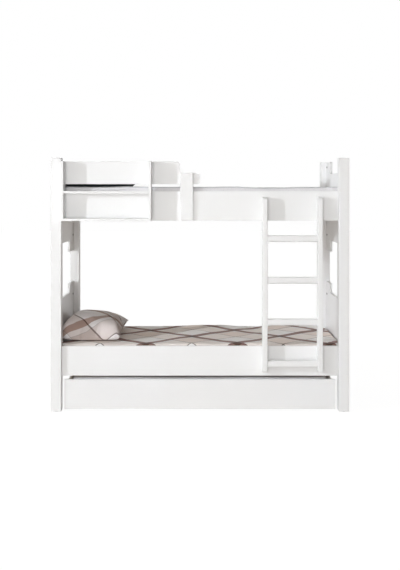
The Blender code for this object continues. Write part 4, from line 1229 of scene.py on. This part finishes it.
def head_tree():
    """A disc whose top falls to its rim in a crown, cut by a cross and turned to each point's facing."""
    tree, get = new_tree("round_heads", HEAD_SIZES)
    sockets = {"Vertices": 20, "Side Segments": 1, "Fill Segments": 3, "Radius": get["Radius"],
               "Depth": get["Height"]}
    disc = put(tree, "GeometryNodeMeshCylinder", sockets, fill_type="NGON").outputs["Mesh"]
    parts = put(tree, "ShaderNodeSeparateXYZ", {0: put(tree, "GeometryNodeInputPosition").outputs[0]}).outputs
    flat = vector_of(tree, parts[0], parts[1])
    out = put(tree, "ShaderNodeVectorMath", {0: flat}, operation="LENGTH").outputs["Value"]
    share = calculate(tree, "DIVIDE", out, get["Radius"])
    fall = calculate(tree, "MULTIPLY", calculate(tree, "POWER", share, 2.5), get["Crown"])
    drop = vector_of(tree, z=calculate(tree, "MULTIPLY", fall, -1.0))
    above = put(tree, "FunctionNodeCompare", {0: parts[2], 1: 0.0}, operation="GREATER_THAN",
                data_type="FLOAT")
    sockets = {"Geometry": disc, "Selection": above.outputs[0], "Offset": drop}
    head = put(tree, "GeometryNodeSetPosition", sockets).outputs[0]
    top = vector_of(tree, z=calculate(tree, "MULTIPLY", get["Height"], 0.5))
    deep = calculate(tree, "MULTIPLY", get["Slot Depth"], 2.0)
    for first, second in (("Slot Length", "Slot Width"), ("Slot Width", "Slot Length")):
        size = vector_of(tree, get[first], get[second], deep)
        bar = put(tree, "GeometryNodeMeshCube", {"Size": size}).outputs[0]
        tool = put(tree, "GeometryNodeTransform", {"Geometry": bar, "Translation": top}).outputs[0]
        sockets = {"Mesh 1": head, "Mesh 2": tool}
        head = put(tree, "GeometryNodeMeshBoolean", sockets, operation="DIFFERENCE").outputs[0]
    raised = put(tree, "GeometryNodeTransform", {"Geometry": head, "Translation": top}).outputs[0]
    facing = put(tree, "GeometryNodeInputNamedAttribute", {"Name": "facing"}, data_type="FLOAT_VECTOR")
    way = next(o for o in facing.outputs if o.enabled)
    turned = put(tree, "FunctionNodeAlignRotationToVector", {"Vector": way}, axis="Z").outputs[0]
    return end_tree(tree, get, set_on(tree, get["Geometry"], raised, Rotation=turned))


HEADS = head_tree()
print("head tree made")

# %% [markdown]
# The bolts sit on the inner faces of the end panels near the rear and front posts, one near the top and one
# near the foot of each panel, where the dark dots are in the photograph. The rails have their cams on the
# inside too.

# %% Sizes and places of the heads
# Each head's sizes come in the order of HEAD_SIZES.
CAM = (0.0075, 0.0005, 0.0001, 0.0016, 0.008, 0.0003)
BOLT = (0.0070, 0.0034, 0.0010, 0.0012, 0.006, 0.0008)
PAN_HEAD = (0.0042, 0.0024, 0.0013, 0.0009, 0.0042, 0.0012)
FLAT_HEAD = (0.0040, 0.0006, 0.0002, 0.0009, 0.0040, 0.0004)
CAP = (0.0065, 0.0011, 0.0006, 0.0004, 0.0005, 0.0002)
BOLT_HEIGHTS = {"lower": (0.290, 0.700), "upper": (1.150, 1.664)}
BOLT_INSET = 0.062
CAM_INSET, CAM_RISES = 0.034, (0.055, 0.150)
LEDGER_SCREW_COUNT, LEDGER_INSET = 7, 0.08
BRACKET_PLATE, BRACKET_INSET = 0.002, 0.0065
CAP_INSETS = (0.025, 0.030)  # from the shelf side's front edge and from its rear edge
ALONG, ACROSS = 0, 1  # the bed's length and its width


def inner_face(node, axis, facing):
    """A board's box, and where its inner face lies. facing is 1 where it looks along the axis, or else -1."""
    low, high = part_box(node)
    return low, high, high[axis] if facing > 0 else low[axis]


def panel_bolts():
    spots = []
    for level, heights in BOLT_HEIGHTS.items():
        for side, facing in (("left", 1.0), ("right", -1.0)):
            low, high, inner = inner_face(f"{level}_end_panel_{side}", ALONG, facing)
            for y in (low.y + BOLT_INSET, high.y - BOLT_INSET):
                spots += [((inner, y, z), (facing, 0.0, 0.0)) for z in heights]
    return spots


def rail_cams():
    spots = []
    for level in ("lower", "upper"):
        for where, facing in (("front", 1.0), ("rear", -1.0)):
            low, high, inner = inner_face(f"{level}_{where}_rail", ACROSS, facing)
            for x in (low.x + CAM_INSET, high.x - CAM_INSET):
                spots += [((x, inner, low.z + rise), (0.0, facing, 0.0)) for rise in CAM_RISES]
    return spots


def ledger_screws():
    spots = []
    for level in ("lower", "upper"):
        for where, facing in (("front", 1.0), ("rear", -1.0)):
            low, high, inner = inner_face(f"{level}_ledger_{where}", ACROSS, facing)
            for x in np.linspace(low.x + LEDGER_INSET, high.x - LEDGER_INSET, LEDGER_SCREW_COUNT):
                spots.append(((float(x), inner, (low.z + high.z) / 2), (0.0, facing, 0.0)))
    return spots


def bracket_screws():
    """Two to a bracket, under its top plate beside the wheel."""
    spots = []
    for corner in ("front_left", "front_right", "rear_left", "rear_right"):
        low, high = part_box("wheel_bracket_" + corner)
        middle_y, under = (low.y + high.y) / 2, high.z - BRACKET_PLATE
        ends = (low.x + BRACKET_INSET, high.x - BRACKET_INSET)
        spots += [((x, middle_y, under), (0.0, 0.0, -1.0)) for x in ends]
    return spots


def shelf_caps():
    """On the outer face of the shelf's right side, at the ends of both shelves."""
    low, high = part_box("shelf_side_right")
    levels = [(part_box(n)[0].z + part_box(n)[1].z) / 2 for n in ("shelf_bottom", "shelf_middle")]
    ends = (low.y + CAP_INSETS[0], high.y - CAP_INSETS[1])
    return [((high.x, y, z), (1.0, 0.0, 0.0)) for z in levels for y in ends]


# %% Set bolts, cams, screws and caps
def set_heads(name, spots, body, sizes, finish):
    """spots are (place, facing) pairs."""
    places, facings = zip(*spots)
    values = {**dict(zip(HEAD_SIZES, sizes)), "Finish": finish}
    piece = grow(name, HEADS, points_mesh(name, places, facings), values, 30.0)
    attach(piece, body)
    print(name, len(spots), "heads,", triangles(piece.data), "triangles")


set_heads("panel_bolts", panel_bolts(), "bed", BOLT, DARK_ZINC)
set_heads("rail_cams", rail_cams(), "bed", CAM, DARK_ZINC)
set_heads("ledger_screws", ledger_screws(), "bed", FLAT_HEAD, ZINC)
set_heads("wheel_bracket_screws", bracket_screws(), "trundle", PAN_HEAD, ZINC)
set_heads("shelf_cover_caps", shelf_caps(), "bed", CAP, CAP_PLASTIC)

# %% [markdown]
# Stage and light.
# The bed stands in front of plain white, with soft light from all round and two lamps. A small one at the
# left throws the shadows of the ladder and the shelf on the boards, and a wide one in front lights the
# faces that look at the camera. The white of the backdrop is only for the camera and for reflections. What
# lights the bed is less than white, brighter from the left and the front than from the right, so white
# boards keep their shading.

# %% World, floor and lamps
FRONT_LIGHT = 0.40  # gathers round the front
LEFT_LIGHT = 0.66  # added at the left and taken off at the right
LOW_LIGHT = 0.15  # added below, as a pale floor does, and taken off above
REAR_LIGHT = 0.09
EVEN_LIGHT, DARKEST, BRIGHTEST = 0.50, 0.02, 0.62
LIGHT_COLOUR, WHITE = (1.0, 0.985, 0.95, 1.0), (1.0, 1.0, 1.0, 1.0)
FLOOR_GLOW, FLOOR_GLOW_SHARE, FLOOR_REACH = 1.08, 0.90, 30.0
LAMP_REACH = 4.3  # the left lamp is as strong everywhere as it would be at this distance


def seen_ray(tree):
    """One for rays from the camera, and for reflected and refracted ones."""
    path = put(tree, "ShaderNodeLightPath").outputs
    reflected = calculate(tree, "MAXIMUM", path["Is Glossy Ray"], path["Is Transmission Ray"])
    return calculate(tree, "MAXIMUM", path["Is Camera Ray"], reflected)


def light_level(tree):
    """How bright the world is in each direction."""
    direction = put(tree, "ShaderNodeTexCoord").outputs["Generated"]
    way = put(tree, "ShaderNodeSeparateXYZ", {0: direction}).outputs
    facing = calculate(tree, "MAXIMUM", calculate(tree, "MULTIPLY", way[1], -1.0), 0.0)
    front = calculate(tree, "MULTIPLY", calculate(tree, "POWER", facing, 3.0), FRONT_LIGHT)
    left = calculate(tree, "MULTIPLY", way[0], -LEFT_LIGHT)
    low = calculate(tree, "MULTIPLY", way[2], -LOW_LIGHT)
    rear = calculate(tree, "MULTIPLY", way[1], REAR_LIGHT)
    even = calculate(tree, "ADD", calculate(tree, "ADD", low, rear), EVEN_LIGHT)
    level = calculate(tree, "ADD", calculate(tree, "ADD", front, left), even)
    return calculate(tree, "MINIMUM", calculate(tree, "MAXIMUM", level, DARKEST), BRIGHTEST)


def backdrop_world():
    world = bpy.data.worlds.new("studio")
    bpy.context.scene.world = world
    world.use_nodes = True
    tree = world.node_tree
    tree.nodes.clear()
    lighting = put(tree, "ShaderNodeBackground", {"Color": LIGHT_COLOUR, "Strength": light_level(tree)})
    white = put(tree, "ShaderNodeBackground", {"Color": WHITE, "Strength": 1.0})
    mixed = put(tree, "ShaderNodeMixShader", {0: seen_ray(tree), 1: lighting.outputs[0], 2: white.outputs[0]})
    put(tree, "ShaderNodeOutputWorld", {"Surface": mixed.outputs[0]})


def pale_floor():
    """Keeps the bed's shadow, and glows white for the camera."""
    material, tree, shader = new_finish("pale_floor", (0.69, 0.65, 0.615), 0.8)
    glow = put(tree, "ShaderNodeEmission", {"Color": WHITE, "Strength": FLOOR_GLOW})
    share = calculate(tree, "MULTIPLY", seen_ray(tree), FLOOR_GLOW_SHARE)
    mixed = put(tree, "ShaderNodeMixShader", {0: share, 1: shader.outputs[0], 2: glow.outputs[0]})
    tree.links.new(mixed.outputs[0], tree.nodes["Material Output"].inputs["Surface"])
    return material


def disk_lamp(name, place, aim, size, energy, colour):
    data = bpy.data.lights.new(name, "AREA")
    data.shape = "DISK"
    data.size, data.energy, data.color = size, energy, colour
    lamp = bpy.data.objects.new(name, data)
    lamp.location = place
    lamp.rotation_euler = (Vector(aim) - lamp.location).to_track_quat("-Z", "Y").to_euler()
    bpy.context.scene.collection.objects.link(lamp)
    return data


# %% Set the stage
backdrop_world()
floor_mesh = bpy.data.meshes.new("floor")
floor_corners = [(x * FLOOR_REACH, y * FLOOR_REACH, 0) for x, y in ((-1, -1), (1, -1), (1, 1), (-1, 1))]
floor_mesh.from_pydata(floor_corners, [], [(0, 1, 2, 3)])
floor = add_piece("floor", floor_mesh, pale_floor())
left_lamp = disk_lamp("left_lamp", place=(-3.95, -2.75, 2.02), aim=(0.0, -0.3, 0.9), size=0.14, energy=79.0,
                      colour=(0.91, 0.95, 0.99))
left_lamp.use_nodes = True
lamp_tree = left_lamp.node_tree
even = put(lamp_tree, "ShaderNodeLightFalloff", {"Strength": 1.0 / LAMP_REACH ** 2}).outputs["Constant"]
lamp_tree.links.new(even, lamp_tree.nodes["Emission"].inputs["Strength"])
disk_lamp("front_lamp", place=(-0.9, -9.0, 1.2), aim=(0.0, -0.4, 0.9), size=3.0, energy=246.0,
          colour=(1.0, 1.0, 0.99))
print("stage and light made")
